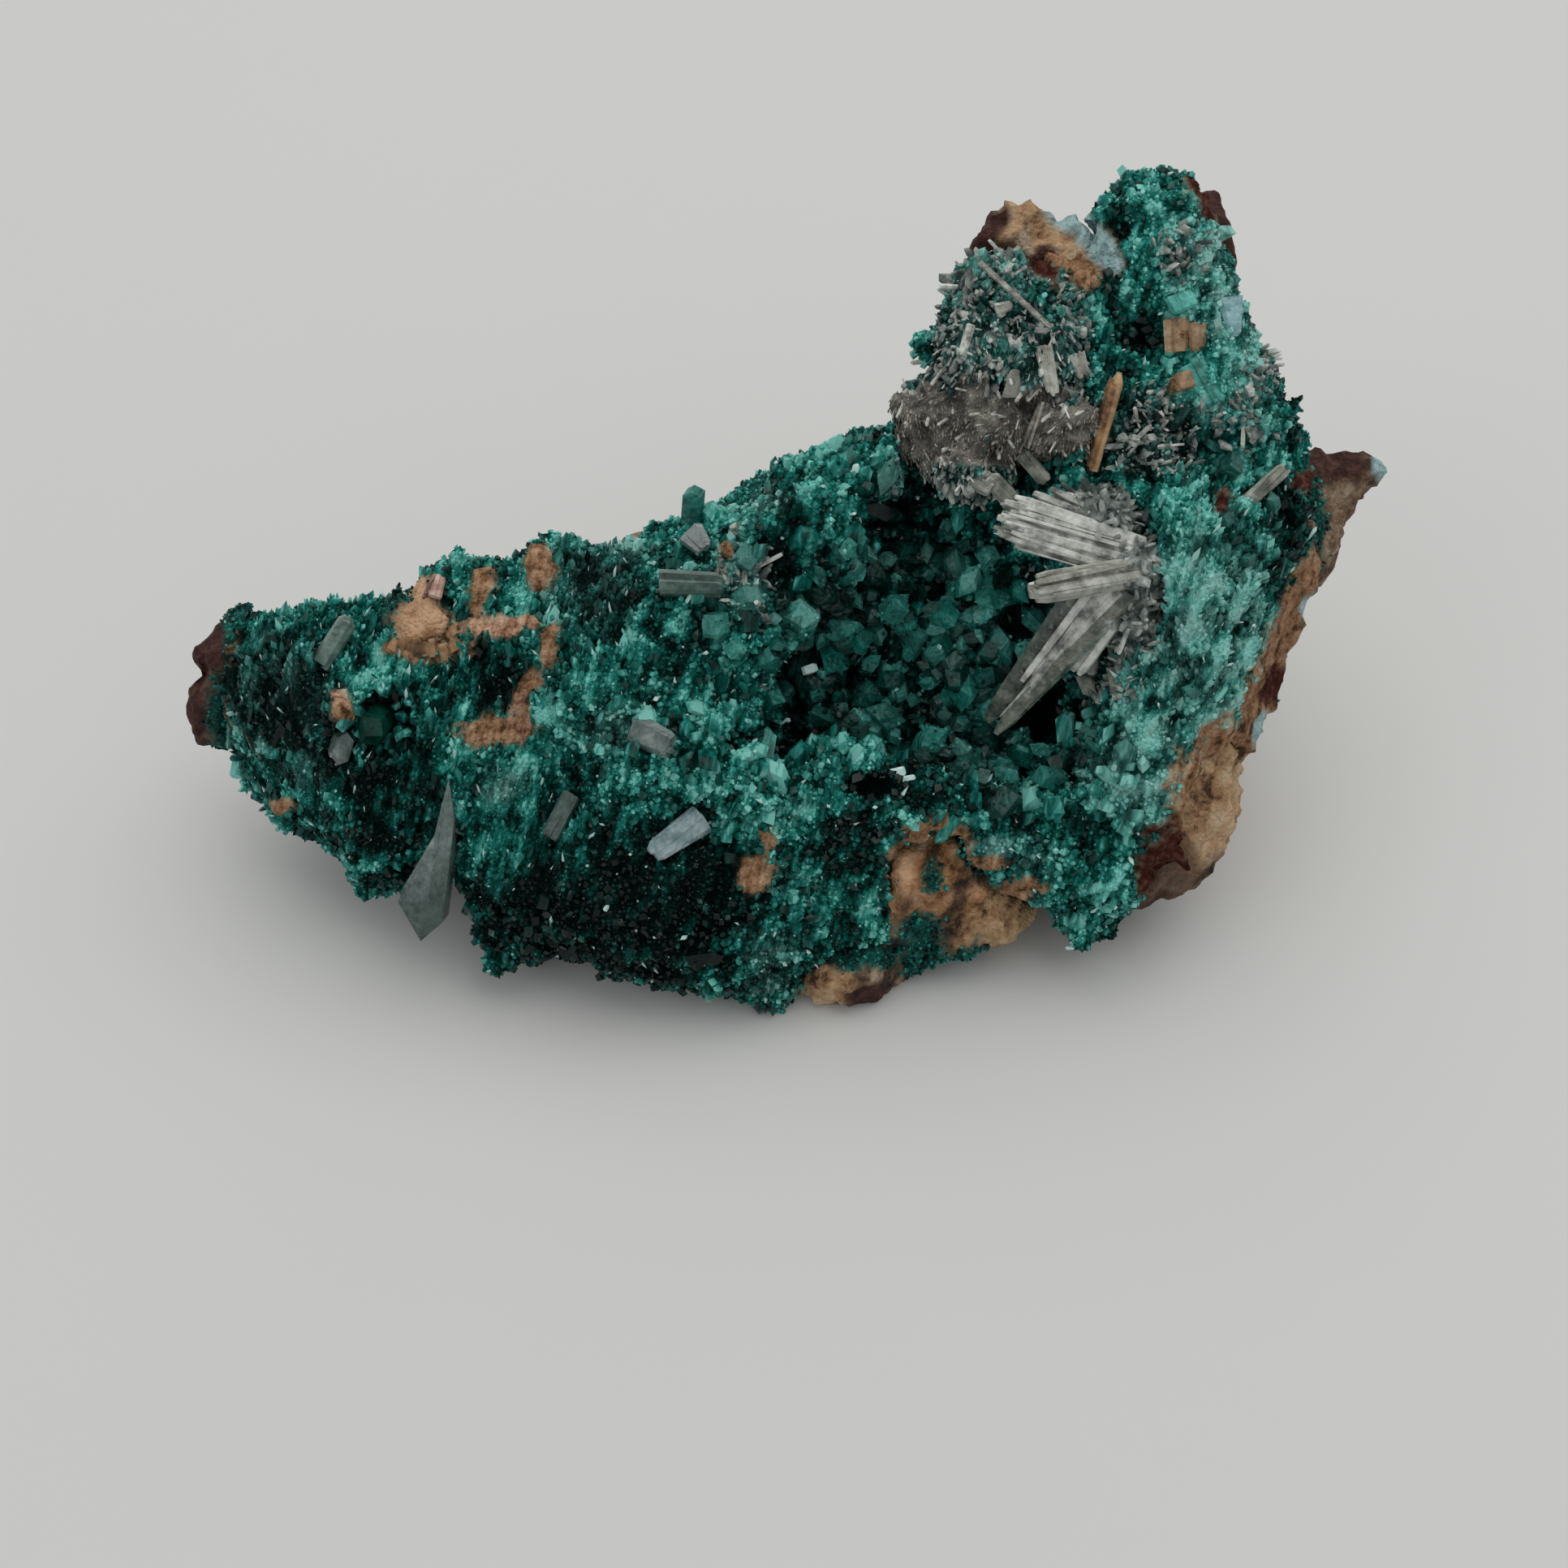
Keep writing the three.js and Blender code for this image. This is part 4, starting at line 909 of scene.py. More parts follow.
HOLLOW_CENTRE = np.array([11, 23.4, -4])
HOLLOW_EGGS = (
    (np.array([8, 25.4, -4]), np.array([8.6, 7.6, 6])),
    (np.array([14.4, 21, -4]), np.array([6.2, 5.6, 5.2])),
)
HOLLOW_RIM = -1.9  # the height that the wall stops at
WALL_SWING = math.radians(106)  # how far the wall turns up from straight down
INNER_GAP, OUTER_GAP = 1.5, 0.25  # how far the lining's two skins stay inside the CAD's hollow
AROUND, RINGS = 88, 30
HOLLOW_GAPS = [
    (8.3, 33, 2.4, 1.5), (14.7, 26.5, 1, 2.3), (17.8, 21, 2.6, 2.2, 20), (14.3, 20.8, 0.6, 1.6),
    (0.9, 23.4, 0.9, 2.8), (4.4, 23.4, 1, 1), (9, 20.6, 0.9, 0.7), (10.4, 29, 0.6, 0.9),
]


def hollow_reach(direction, thinner):
    """How far the wall is from the centre that way, made smaller all round by thinner."""
    best = 0.0
    for middle, half in HOLLOW_EGGS:
        half = half - thinner
        a, b = direction / half, (HOLLOW_CENTRE - middle) / half
        most = (a @ b) ** 2 - (a @ a) * (b @ b - 1)
        if most > 0:
            best = max(best, (math.sqrt(most) - a @ b) / (a @ a))
    return best


def hollow_wall(thinner):
    """The lowest corner of the wall, then its rings from there up."""
    rows = [HOLLOW_CENTRE + np.array([0, 0, -hollow_reach(np.array([0, 0, -1.0]), thinner)])]
    for ring in range(1, RINGS + 1):
        swing = ring / RINGS * WALL_SWING
        for step in range(AROUND):
            turn = 2 * math.pi * step / AROUND
            out = [math.sin(swing) * math.cos(turn), math.sin(swing) * math.sin(turn)]
            out = np.array([*out, -math.cos(swing)])
            at = HOLLOW_CENTRE + out * hollow_reach(out, thinner)
            rows.append([at[0], at[1], min(at[2], HOLLOW_RIM)])
    return np.array(rows)


def turn_faces_out(mesh):
    shell = bmesh.new()
    shell.from_mesh(mesh)
    bmesh.ops.recalc_face_normals(shell, faces=shell.faces)
    shell.to_mesh(mesh)
    shell.free()


inner, outer = hollow_wall(INNER_GAP), hollow_wall(OUTER_GAP)
gaps = patches(inner[:, :2], HOLLOW_GAPS, 0, 0.6)
heaped = -2.0 + 1.1 * knobs(inner * [1, 1, 0] * MM, 0.3, 57)
filled = 0.92 * (1 - gaps) * (inner[:, 2] < heaped)
inner[:, 2] += (heaped - inner[:, 2]) * filled
faces, total = [], len(inner)
for first, way in ((0, -1), (total, 1)):
    for step in range(AROUND):
        after = (step + 1) % AROUND
        made = [(first, first + 1 + step, first + 1 + after)]
        for low in range(first + 1, first + 1 + (RINGS - 1) * AROUND, AROUND):
            high = low + AROUND
            made.append((low + step, high + step, high + after, low + after))
        faces += [f[::way] for f in made]
edge = 1 + (RINGS - 1) * AROUND
for step in range(edge, edge + AROUND):
    after = edge + (step - edge + 1) % AROUND
    faces.append((step, after, total + after, total + step))
lining_mesh = bpy.data.meshes.new("hollow_lining")
lining_mesh.from_pydata([tuple(p) for p in from_face([*inner, *outer])], [], faces)
turn_faces_out(lining_mesh)
lining = add_object("hollow_lining", lining_mesh)
smooth(lining_mesh)
points, outwards = surface_of(lining_mesh)
inside = np.arange(len(points)) < total
lumps = inside * (0.4 * knobs(points, 0.4, 41) + 0.3 * knobs(points, 1.0, 43))
points = points + outwards * (lumps * MM)[:, None]
move_corners(lining_mesh, points)
gaps = np.pad(gaps, (0, total))


def unstained(count):
    return dict.fromkeys(("stained", "salmon", "rusty", "blue"), np.zeros(count))


write_values(
    lining_mesh,
    # Painted shade: the lining is painted near-black, and darker still in the gaps
    tone=0.2 + 0.25 * knobs(points, 0.5, 47) - 0.3 * gaps,
    pale=0.4 * ramp(knobs(points, 0.4, 49), 0.0, 0.3),
    here=inside * (1 - 0.85 * gaps),
    **straight_growth(len(points)),
    **unstained(len(points)),
)
seat(lining, "dark_dioptase", crust)
growth = (larger_shapes, "here", 0.5, 0.24, 1.0, 0.8, 31, larger_green)
scatter("hollow_small_crystals", lining, "dark_dioptase", *growth)

# The large crystals: foot across, up and out, lean across and up, radius and length
HOLLOW_LARGE = [
    (1.6, 27.4, -6.4, 0.05, 0.3, 1.5, 5.8), (2.6, 22.8, -7, -0.05, -0.2, 1.4, 5.8),
    (4.8, 25.4, -8, 0.1, 0.1, 1.7, 7.2), (6, 29.6, -7.4, 0, 0.35, 1.6, 6.4),
    (7.4, 21.4, -8, -0.2, -0.15, 1.6, 6.2), (8.4, 25.6, -8.6, 0.05, 0.05, 1.9, 8.4),
    (10, 30, -7.4, 0.15, 0.2, 1.7, 6), (12.2, 22.6, -8.4, 0.15, 0, 1.7, 6.8),
    (12.6, 27, -7.8, 0.25, 0.15, 1.7, 6.4), (13, 18.6, -7.4, 0, -0.25, 1.5, 5.6),
]


def standing(corners, foot, axis, radius, length, spin):
    """The corners of a unit crystal, sized, turned to an axis and stood on its foot, in face mm."""
    axis = np.asarray(axis, float) / np.linalg.norm(axis)
    side = np.cross(axis, [0, 0, 1] if abs(axis[2]) < 0.9 else [1, 0, 0])
    side /= np.linalg.norm(side)
    third = np.cross(axis, side)
    c, s = math.cos(spin), math.sin(spin)
    sized = corners * [radius, radius, length]
    return foot + sized @ np.array([c * side + s * third, c * third - s * side, axis])


random = np.random.default_rng(77)


def joined(name, parts, **values):
    """One mesh of many closed shapes, given as corners in face millimetres and faces."""
    corners, faces, luck = [], [], []
    for part_corners, part_faces in parts:
        faces += [tuple(len(corners) + i for i in f) for f in part_faces]
        corners += list(part_corners)
        luck += [random.uniform(0, 1)] * len(part_corners)
    mesh = bpy.data.meshes.new(name)
    mesh.from_pydata([tuple(p) for p in from_face(corners)], [], faces)
    move_corners(mesh, corners_of(mesh))
    write_values(mesh, chance=luck, **values)
    return mesh


parts, shades = [], {"tone": [], "tip": [], "pale": []}


def stand_in_hollow(foot, axis, radius, length, tone, pale):
    corners, faces = crystal_shape(random.uniform(0.1, 0.24), random.uniform(0, 0.45))
    parts.append((standing(corners, foot, axis, radius, length, random.uniform(0, 6.28)), faces))
    shades["tone"].extend([tone] * len(corners))
    shades["tip"].extend(corners[:, 2])
    shades["pale"].extend([pale] * len(corners))


for across, up, out, lean_across, lean_up, radius, length in HOLLOW_LARGE:
    for beside in range(3):
        share = 1 if beside == 0 else random.uniform(0.35, 0.6)
        away = random.uniform(-1.5, 1.5, 3) * (beside > 0) * [1, 1, 0.3]
        axis = np.array([lean_across, lean_up, 1]) + random.uniform(-0.35, 0.35, 3) * (beside > 0)
        stand_in_hollow(
            np.array([across, up, out]) + away,
            axis,
            radius * share * 0.8,
            length * (1 if beside == 0 else random.uniform(0.7, 1.02)),
            random.uniform(0.15, 0.4),
            random.uniform(0, 0.7),
        )
# Crystals seen in the hollow and on its shoulder: across, up, width, tone and how grey
SEEN_BLOCKS = [
    (-1, 24.8, 1.5, 0.5, 0.5), (6, 26.3, 1.3, 0.45, 0.5), (5.6, 24.3, 1.3, 0.35, 0.3),
    (7.2, 23.9, 1.1, 0.35, 0.7), (7.1, 22.3, 0.9, 0.35, 0.6), (8.4, 22.1, 1, 0.4, 0.6),
    (9.9, 26.7, 2.1, 0.5, 0.5), (6.6, 31.1, 1.2, 0.3, 0.6), (9.9, 30.6, 0.9, 0.5, 0.9),
    (3.6, 29, 2.1, 0.3, 0.6), (-2.4, 31, 1.6, 0.5, 0.9), (-2.2, 28.8, 1.9, 0.5, 0.9),
    (10.6, 33.4, 1, 0.5, 0.9), (-4.5, 26.7, 2, 0.55, 0.5), (7.6, 26.9, 1.3, 0.4, 0.3),
    (11.8, 27.4, 1.6, 0.45, 0.3), (13, 29.5, 1.3, 0.5, 0.3), (2.8, 25.9, 1, 0.3, 0.3),
    (10.8, 20, 1, 0.5, 0.3), (9.5, 19.8, 0.8, 0.4, 0.7), (10.6, 17.6, 1.2, 0.4, 0.6),
    (3.9, 24.3, 0.9, 0.35, 0.3), (-0.8, 22.2, 1.6, 0.55, 0.1), (-3.2, 25.3, 1.4, 0.6, 0.2),
    (7.1, 19.8, 1.2, 0.6, 0), (13.5, 17.9, 1, 0.4, 0.5), (14.9, 14.7, 1.2, 0.8, 0.2),
    (11.7, 30.6, 1.3, 0.6, 0.2), (9.2, 23.8, 0.9, 0.35, 0.2), (11.3, 23.2, 1.2, 0.3, 0.2),
    (12.6, 21.6, 1, 0.4, 0.2), (6.5, 36.2, 1.8, 0.4, 1), (28.6, 37, 1.7, 0.3, 0.3),
    (28.2, 33.4, 1.4, 0.28, 0.2), (31.2, 34.6, 1.2, 0.3, 0.3), (29.8, 31, 1, 0.32, 0.3),
    (26.4, 22.6, 1.1, 0.4, 0.5), (9.6, 29.3, 1.6, 0.62, 0.5), (11, 28.5, 1.3, 0.6, 0.4),
    (4.3, 30.4, 1.4, 0.5, 0.7),
]


def carrier_tree(carrier):
    return BVHTree.FromObject(carrier, bpy.context.evaluated_depsgraph_get())


carriers = [carrier_tree(carrier) for carrier in (ground, lining, rock)]


def where_it_stands(across, up):
    """The first surface met on the line of sight, and how it faces, in the face's millimetres."""
    eye = Vector(from_face([EYE])[0])
    sight = (Vector(from_face([(across, up, 0)])[0]) - eye).normalized()
    met = [tree.ray_cast(eye, sight) for tree in carriers]
    spot, facing = min(((m[3], m[0], m[1]) for m in met if m[0]), key=lambda m: m[0])[1:]
    return to_face([spot])[0], FACE_AXES @ np.array(facing)


def stand_on_surface(across, up, width, tone, pale, length, unruly):
    foot, facing = where_it_stands(across, up)
    axis = 0.4 * facing + [0, 0.15, 0.8] + random.uniform(-unruly, unruly, 3)
    axis /= np.linalg.norm(axis)
    stand_in_hollow(foot - axis * 0.45 * length, axis, width / 2, length, tone, pale)


for across, up, width, tone, pale in SEEN_BLOCKS:
    stand_on_surface(across, up, width, tone, pale, max(1.5 * width, 1.6), 0.5)
JUMBLE_COUNTS = (240, 110)
for count, (middle, half) in zip(JUMBLE_COUNTS, HOLLOW_EGGS):
    for _ in range(count):
        turn, far = random.uniform(0, 2 * math.pi), 1.04 * math.sqrt(random.uniform(0, 1))
        across, up = middle[:2] + far * half[:2] * [math.cos(turn), math.sin(turn)]
        gap = patches(np.array([[across, up]]), HOLLOW_GAPS, 0, 0.6)[0]
        width = random.uniform(0.45, 1.2) + 1.2 * random.uniform(0, 1) ** 3
        # Painted shade: a crystal in a gap is painted darker
        tone = 0.02 + 0.78 * random.uniform(0, 1) ** 1.5 - 0.2 * gap
        pale = 0.9 * random.uniform(0, 1) ** 2
        if gap < 0.5:
            stand_on_surface(across, up, width, tone, pale, 2.2 * width, 0.75)
clear_green, tree, shader = new_material("dioptase clear dark crystals")
speckle, height = grain_in(tree, 900, 2.0)
# Painted highlight: each crystal is painted lighter towards its tip
lit = plus(painted(tree, "tone"), times(painted(tree, "tip"), 0.2), times(speckle, 0.5))
green = ramp_of(minus(lit, 0.17), *GREEN_STOPS)
# Painted highlight on the grey crystals: their tips are painted paler
milky_and_highlit_tips = times(painted(tree, "pale"), painted(tree, "tip"), 0.6)
feed(
    shader,
    base_color=blend_of(milky_and_highlit_tips, green, (0.12, 0.30, 0.26, 1)),
    roughness=0.16,
    ior=DIOPTASE_IOR,
    specular_ior_level=0.15,
    transmission_weight=0.35,
    normal=rough_skin(height, 0.3, 0.8),
)
name = "hollow_large_crystals"
hollow = add_object(name, joined(name, parts, **shades))
seat(hollow, "dark_dioptase", clear_green, "hollow_crystals")
count = len(hollow.data.vertices)
write_values(hollow.data, here=np.full(count, 0.25), **straight_growth(count))
growth = (small_shapes, "here", 0.3, 0.13, 0.36, 0.8, 33, small_green)
scatter("hollow_grains", hollow, "dark_dioptase", *growth)

# The blade spray. Striated pale blades, each a bundle of thin laths grown side by side, that fan
# out over the right of the hollow from a sugary grey clump.

# Each blade: root, tip, width, thickness and how much it narrows
UPPER_BLADE = ((22, 31.2, 3.6), (13, 33.9, 6.6), 2.8, 1.3, 0.8)
UPPER_BACK = ((21.5, 32.6, 3.4), (15.4, 35.4, 4.6), 1.4, 1, 0.8)
MIDDLE_BLADE = ((22.6, 30.6, 4.4), (14.9, 29.6, 7.4), 1.7, 1.2, 0.8)
LONG_ROOT, LONG_TIP = np.array([20.6, 30.4, 5]), np.array([13.6, 20.2, 0.4])
SHORT_BLADE = ((20.5, 28, 4), (18.2, 24, 1.4), 1.4, 1, 0.8)
PALE_IOR = 1.58


def lath_shape(narrow=0.55):
    """A six-sided lath 1 wide, 1 thick and 1 long, with a chisel end."""
    ring = [(0.5, 0), (0.3, 0.5), (-0.3, 0.5), (-0.5, 0), (-0.3, -0.5), (0.3, -0.5)]
    levels = ((0.0, 0.9), (0.9, 1.0), (1.0, narrow))
    corners = [(x * wide, y * wide, z) for z, wide in levels for x, y in ring]
    faces = [tuple(range(5, -1, -1)), tuple(range(12, 18))]
    for low in (0, 6):
        sides = [(low + i, low + (i + 1) % 6) for i in range(6)]
        faces += [(first, after, after + 6, first + 6) for first, after in sides]
    return np.array(corners), faces


def bundle(root, tip, width, thickness, share, strands, layers=2, ragged=0.12):
    """A blade as uneven laths side by side, a little out of line: corners in face millimetres."""
    root, tip = np.array(root, float), np.array(tip, float)
    along = tip - root
    long = np.linalg.norm(along)
    along /= long
    across = np.cross(along, [0, 0, 1.0])
    across /= max(np.linalg.norm(across), 1e-6)
    out = np.cross(across, along)
    made = []
    for layer in range(layers):
        shares = random.uniform(0.3, 1.7, strands)
        edges = np.concatenate([[0], np.cumsum(shares)]) / shares.sum() - 0.5
        for left, right in zip(edges, edges[1:]):
            place = (left + right) / 2
            level = ((layer + 0.5) / layers - 0.5) * thickness * (1 - 1.2 * place * place)
            level += random.uniform(-0.1, 0.1) * thickness
            corners, faces = lath_shape(random.uniform(0.35, 0.9))
            reach = long * (1 - ragged * random.uniform(0, 1) ** 1.5)
            start = long * random.uniform(0, 0.1)
            wide = width * (right - left) * random.uniform(1.6, 2.8)
            thick = thickness / layers * random.uniform(0.8, 1.3)
            z = start + corners[:, 2] * (reach - start)
            narrowing = 1 + (share - 1) * z / long
            stray = random.uniform(-0.05, 0.05, 2) * (strands > 1)
            x = (place * width + corners[:, 0] * wide) * narrowing + stray[0] * z
            y = (level + corners[:, 1] * thick) * narrowing + stray[1] * z
            made.append((root + np.outer(x, across) + np.outer(y, out) + np.outer(z, along), faces))
    return made


def pale_material(name, dark, middle, light, roughness, transmission):
    """Pale crystal, mottled and a little different from lath to lath."""
    made, tree, shader = new_material(name)
    speckle, height = grain_in(tree, 900, 2.2)
    luck = times(minus(painted(tree, "chance"), 0.5), 0.5)
    feed(
        shader,
        base_color=ramp_of(plus(speckle, luck), (0.1, dark), (0.5, middle), (0.95, light)),
        roughness=roughness,
        ior=PALE_IOR,
        specular_ior_level=0.4,
        transmission_weight=transmission,
        normal=rough_skin(height, 0.2, 0.8),
    )
    return made


# Each pale finish: its darkest, middle and lightest colour, roughness and transmission
blade = pale_material(
    "pale striated blades", (0.12, 0.13, 0.12), (0.54, 0.55, 0.50), (0.88, 0.89, 0.83), 0.3, 0.1
)
creamy_blade = pale_material(
    "creamy blade", (0.17, 0.17, 0.14), (0.38, 0.39, 0.33), (0.66, 0.67, 0.60), 0.3, 0.2
)
olive_blade = pale_material(
    "olive clear blade", (0.018, 0.026, 0.02), (0.10, 0.12, 0.09), (0.36, 0.38, 0.31), 0.2, 0.35
)


def lay(name, parts, finish, slot="pale_blades", *replaced):
    """Makes one piece of laths and rides it with the specimen."""
    seat(add_object(name, joined(name, parts)), slot, finish, *replaced)


parts = bundle(*UPPER_BLADE, strands=15, layers=3, ragged=0.3)
parts += bundle(*UPPER_BACK, strands=5, ragged=0.4) + bundle(*SHORT_BLADE, strands=5, ragged=0.4)
lay("blade_spray_blades", parts, blade, "pale_blades", "blade_spray")
lay("blade_spray_creamy_blade", bundle(*MIDDLE_BLADE, strands=7, ragged=0.16), creamy_blade)
parts = bundle(LONG_ROOT, LONG_TIP, 2.9, 1.0, 0.28, strands=2, layers=1, ragged=0.02)
lay("blade_spray_long_blade", parts, olive_blade)
lift = np.array([0, 0, 0.5])
ends = (LONG_ROOT + lift, LONG_TIP + 0.3 * lift)
parts = bundle(*ends, 1.9, 0.3, 0.25, strands=6, layers=1, ragged=0.7)
lay("blade_spray_long_blade_streaks", parts, blade)
CLUMP_CELL = 0.35  # millimetres across a face of a clump's skin
CLUMP_INSET = 0.15  # millimetres that the skin lies below its eggs, under the grains


def clump(name, eggs, big, small, **values):
    """A lump of overlapping egg shapes under one rough skin, with values painted on it."""
    shell = bmesh.new()
    for across, up, out, *half in eggs:
        made = bmesh.ops.create_icosphere(shell, subdivisions=3, radius=1)
        for corner in made["verts"]:
            corner.co = from_face([(across, up, out) + np.array(corner.co) * half])[0]
    holder = even_skin(name, shell, CLUMP_CELL)
    points, outwards = surface_of(holder.data)
    relief = big * knobs(points, 0.5, 51) + small * knobs(points, 1.3, 53) - CLUMP_INSET
    points = points + outwards * (relief * MM)[:, None]
    move_corners(holder.data, points)
    held = {"here": np.ones(len(points)), **straight_growth(len(points))}
    held.update({key: value_at(points) for key, value_at in values.items()})
    write_values(holder.data, **held)
    return holder


sugar = pale_material(
    "sugary pale grains", (0.05, 0.075, 0.07), (0.29, 0.325, 0.295), (0.76, 0.79, 0.74), 0.3, 0.2
)
# The eggs of a clump: across, up, out and their half sizes that way
SPRAY_CLUMP = [
    (21.6, 30.4, 3.2, 2.4, 2.4, 2.2), (19.6, 33.8, 2.6, 2.6, 2.2, 2.2),
    (22.2, 27.4, 2.6, 1.8, 2.2, 2.0),
]
spray_clump = clump("blade_spray_clump", SPRAY_CLUMP, 0.4, 0.3)
seat(spray_clump, "pale_blades", sugar)
lath_shapes = shape_shelf("lath", 0.2, lath_shape(0.5), lath_shape(0.8), lath_shape(0.3))
grain_shapes = shape_shelf(
    "sugar_grain", 0.2, crystal_shape(0.3, 0.2), crystal_shape(0.2, 0.4), lath_shape(0.6)
)
growth = (grain_shapes, "here", 0.4, 0.22, 1.0, 1.0, 41, sugar)
scatter("blade_spray_grains", spray_clump, "pale_blades", *growth)

# The grey thicket. A brownish grey velvet of fine fibres on the tower's left shoulder, green and
# granular in its upper part, with paler blades standing in it at all angles.

THICKET_CLUMP = [
    (9.4, 40, 0.3, 2.6, 2.4, 2.6), (13, 39.6, 1.0, 3.0, 2.8, 2.8), (17.4, 39.6, 1.2, 2.6, 2.6, 2.7),
    (11.6, 37.0, 1.2, 2.6, 2.4, 2.5), (16.0, 43.2, 0.9, 2.9, 3.0, 2.9),
    (12.0, 43.2, 0.7, 2.8, 3.0, 2.8),
]
brown_grey = pale_material(
    "brown grey felt", (0.045, 0.04, 0.032), (0.205, 0.19, 0.158), (0.50, 0.475, 0.41), 0.6, 0.0
)


def felted(at):
    """How far a place belongs to the felt, against the green granules above it."""
    place = to_face(at)
    uneven = 1.8 * knobs(at, 0.35, 75) + 1.8 * knobs(at, 0.9, 76)
    above = ramp(place[:, 1] + uneven + 0.25 * place[:, 0], 46.0, 44.6)
    return above * ramp(place[:, 1] + uneven, 36.4, 37.6)


def tufts(at):
    """The way that the felt's fibres lean: down the face, turning slowly from place to place."""
    turns = -math.pi / 2 + 0.9 * knobs(at, 0.2, 71)
    return 1.6 * np.stack([np.cos(turns), np.sin(turns), 0.1 * np.ones(len(at))], 1) @ FACE_AXES


thicket = clump(
    "grey_thicket_mass",
    THICKET_CLUMP,
    0.9,
    0.6,
    lie=tufts,
    here=felted,
    granular=lambda at: 1 - felted(at),
    pale_spots=lambda at: (1 - felted(at)) * ramp(knobs(at, 0.6, 85), -0.6, -0.1),
    grow=lambda at: 0.9 + 0.5 * knobs(at, 0.7, 73),
    tone=lambda at: 0.33 + 0.6 * knobs(at, 0.8, 77),
    pale=lambda at: 0.55 + 0.6 * ramp(knobs(at, 0.6, 79), -0.1, 0.3),
)
write_values(thicket.data, **unstained(len(thicket.data.vertices)))
seat(thicket, "pale_blades", brown_grey, "grey_thicket")
thicket.data.materials.append(crust)
fuzzy = felted(corners_of(thicket.data))
for face in thicket.data.polygons:
    face.material_index = int(np.mean([fuzzy[i] for i in face.vertices]) < 0.5)
for name, slot, *growth in (
    ("felt", "pale_blades", small_shapes, "here", 0.17, 0.07, 0.42, 0.6, 51, brown_grey),
    ("pale_grains", "pale_blades", grain_shapes, "pale_spots", 0.33, 0.19, 0.6, 1.0, 54, sugar),
    ("green_crystals", "dioptase", small_shapes, "granular", 0.24, 0.12, 0.6, 0.9, 52, small_green),
    ("blades", "pale_blades", lath_shapes, "grow", 0.8, 0.16, 1.0, 1.6, 53, blade),
):
    scatter("grey_thicket_" + name, thicket, slot, *growth)

bluish = pale_material(
    "blue grey tablets", (0.10, 0.16, 0.17), (0.22, 0.32, 0.34), (0.46, 0.58, 0.60), 0.3, 0.2
)
beige = pale_material(
    "beige rods", (0.10, 0.105, 0.085), (0.30, 0.31, 0.26), (0.56, 0.57, 0.50), 0.35, 0.15
)
turquoise = pale_material(
    "turquoise blocks", (0.01, 0.15, 0.12), (0.03, 0.32, 0.26), (0.10, 0.52, 0.44), 0.35, 0.1
)
tan = pale_material(
    "tan blocks", (0.11, 0.07, 0.038), (0.34, 0.22, 0.125), (0.52, 0.38, 0.24), 0.8, 0.0
)
orange = pale_material(
    "ochre crumbs", (0.10, 0.055, 0.03), (0.32, 0.175, 0.08), (0.48, 0.30, 0.16), 0.85, 0.0
)
rosy = pale_material(
    "rosy nub", (0.15, 0.08, 0.06), (0.40, 0.24, 0.18), (0.62, 0.46, 0.38), 0.8, 0.0
)
pale_blue_slab = pale_material(
    "pale blue slabs", (0.11, 0.24, 0.25), (0.26, 0.48, 0.50), (0.42, 0.66, 0.68), 0.4, 0.1
)
carriers.append(carrier_tree(thicket))
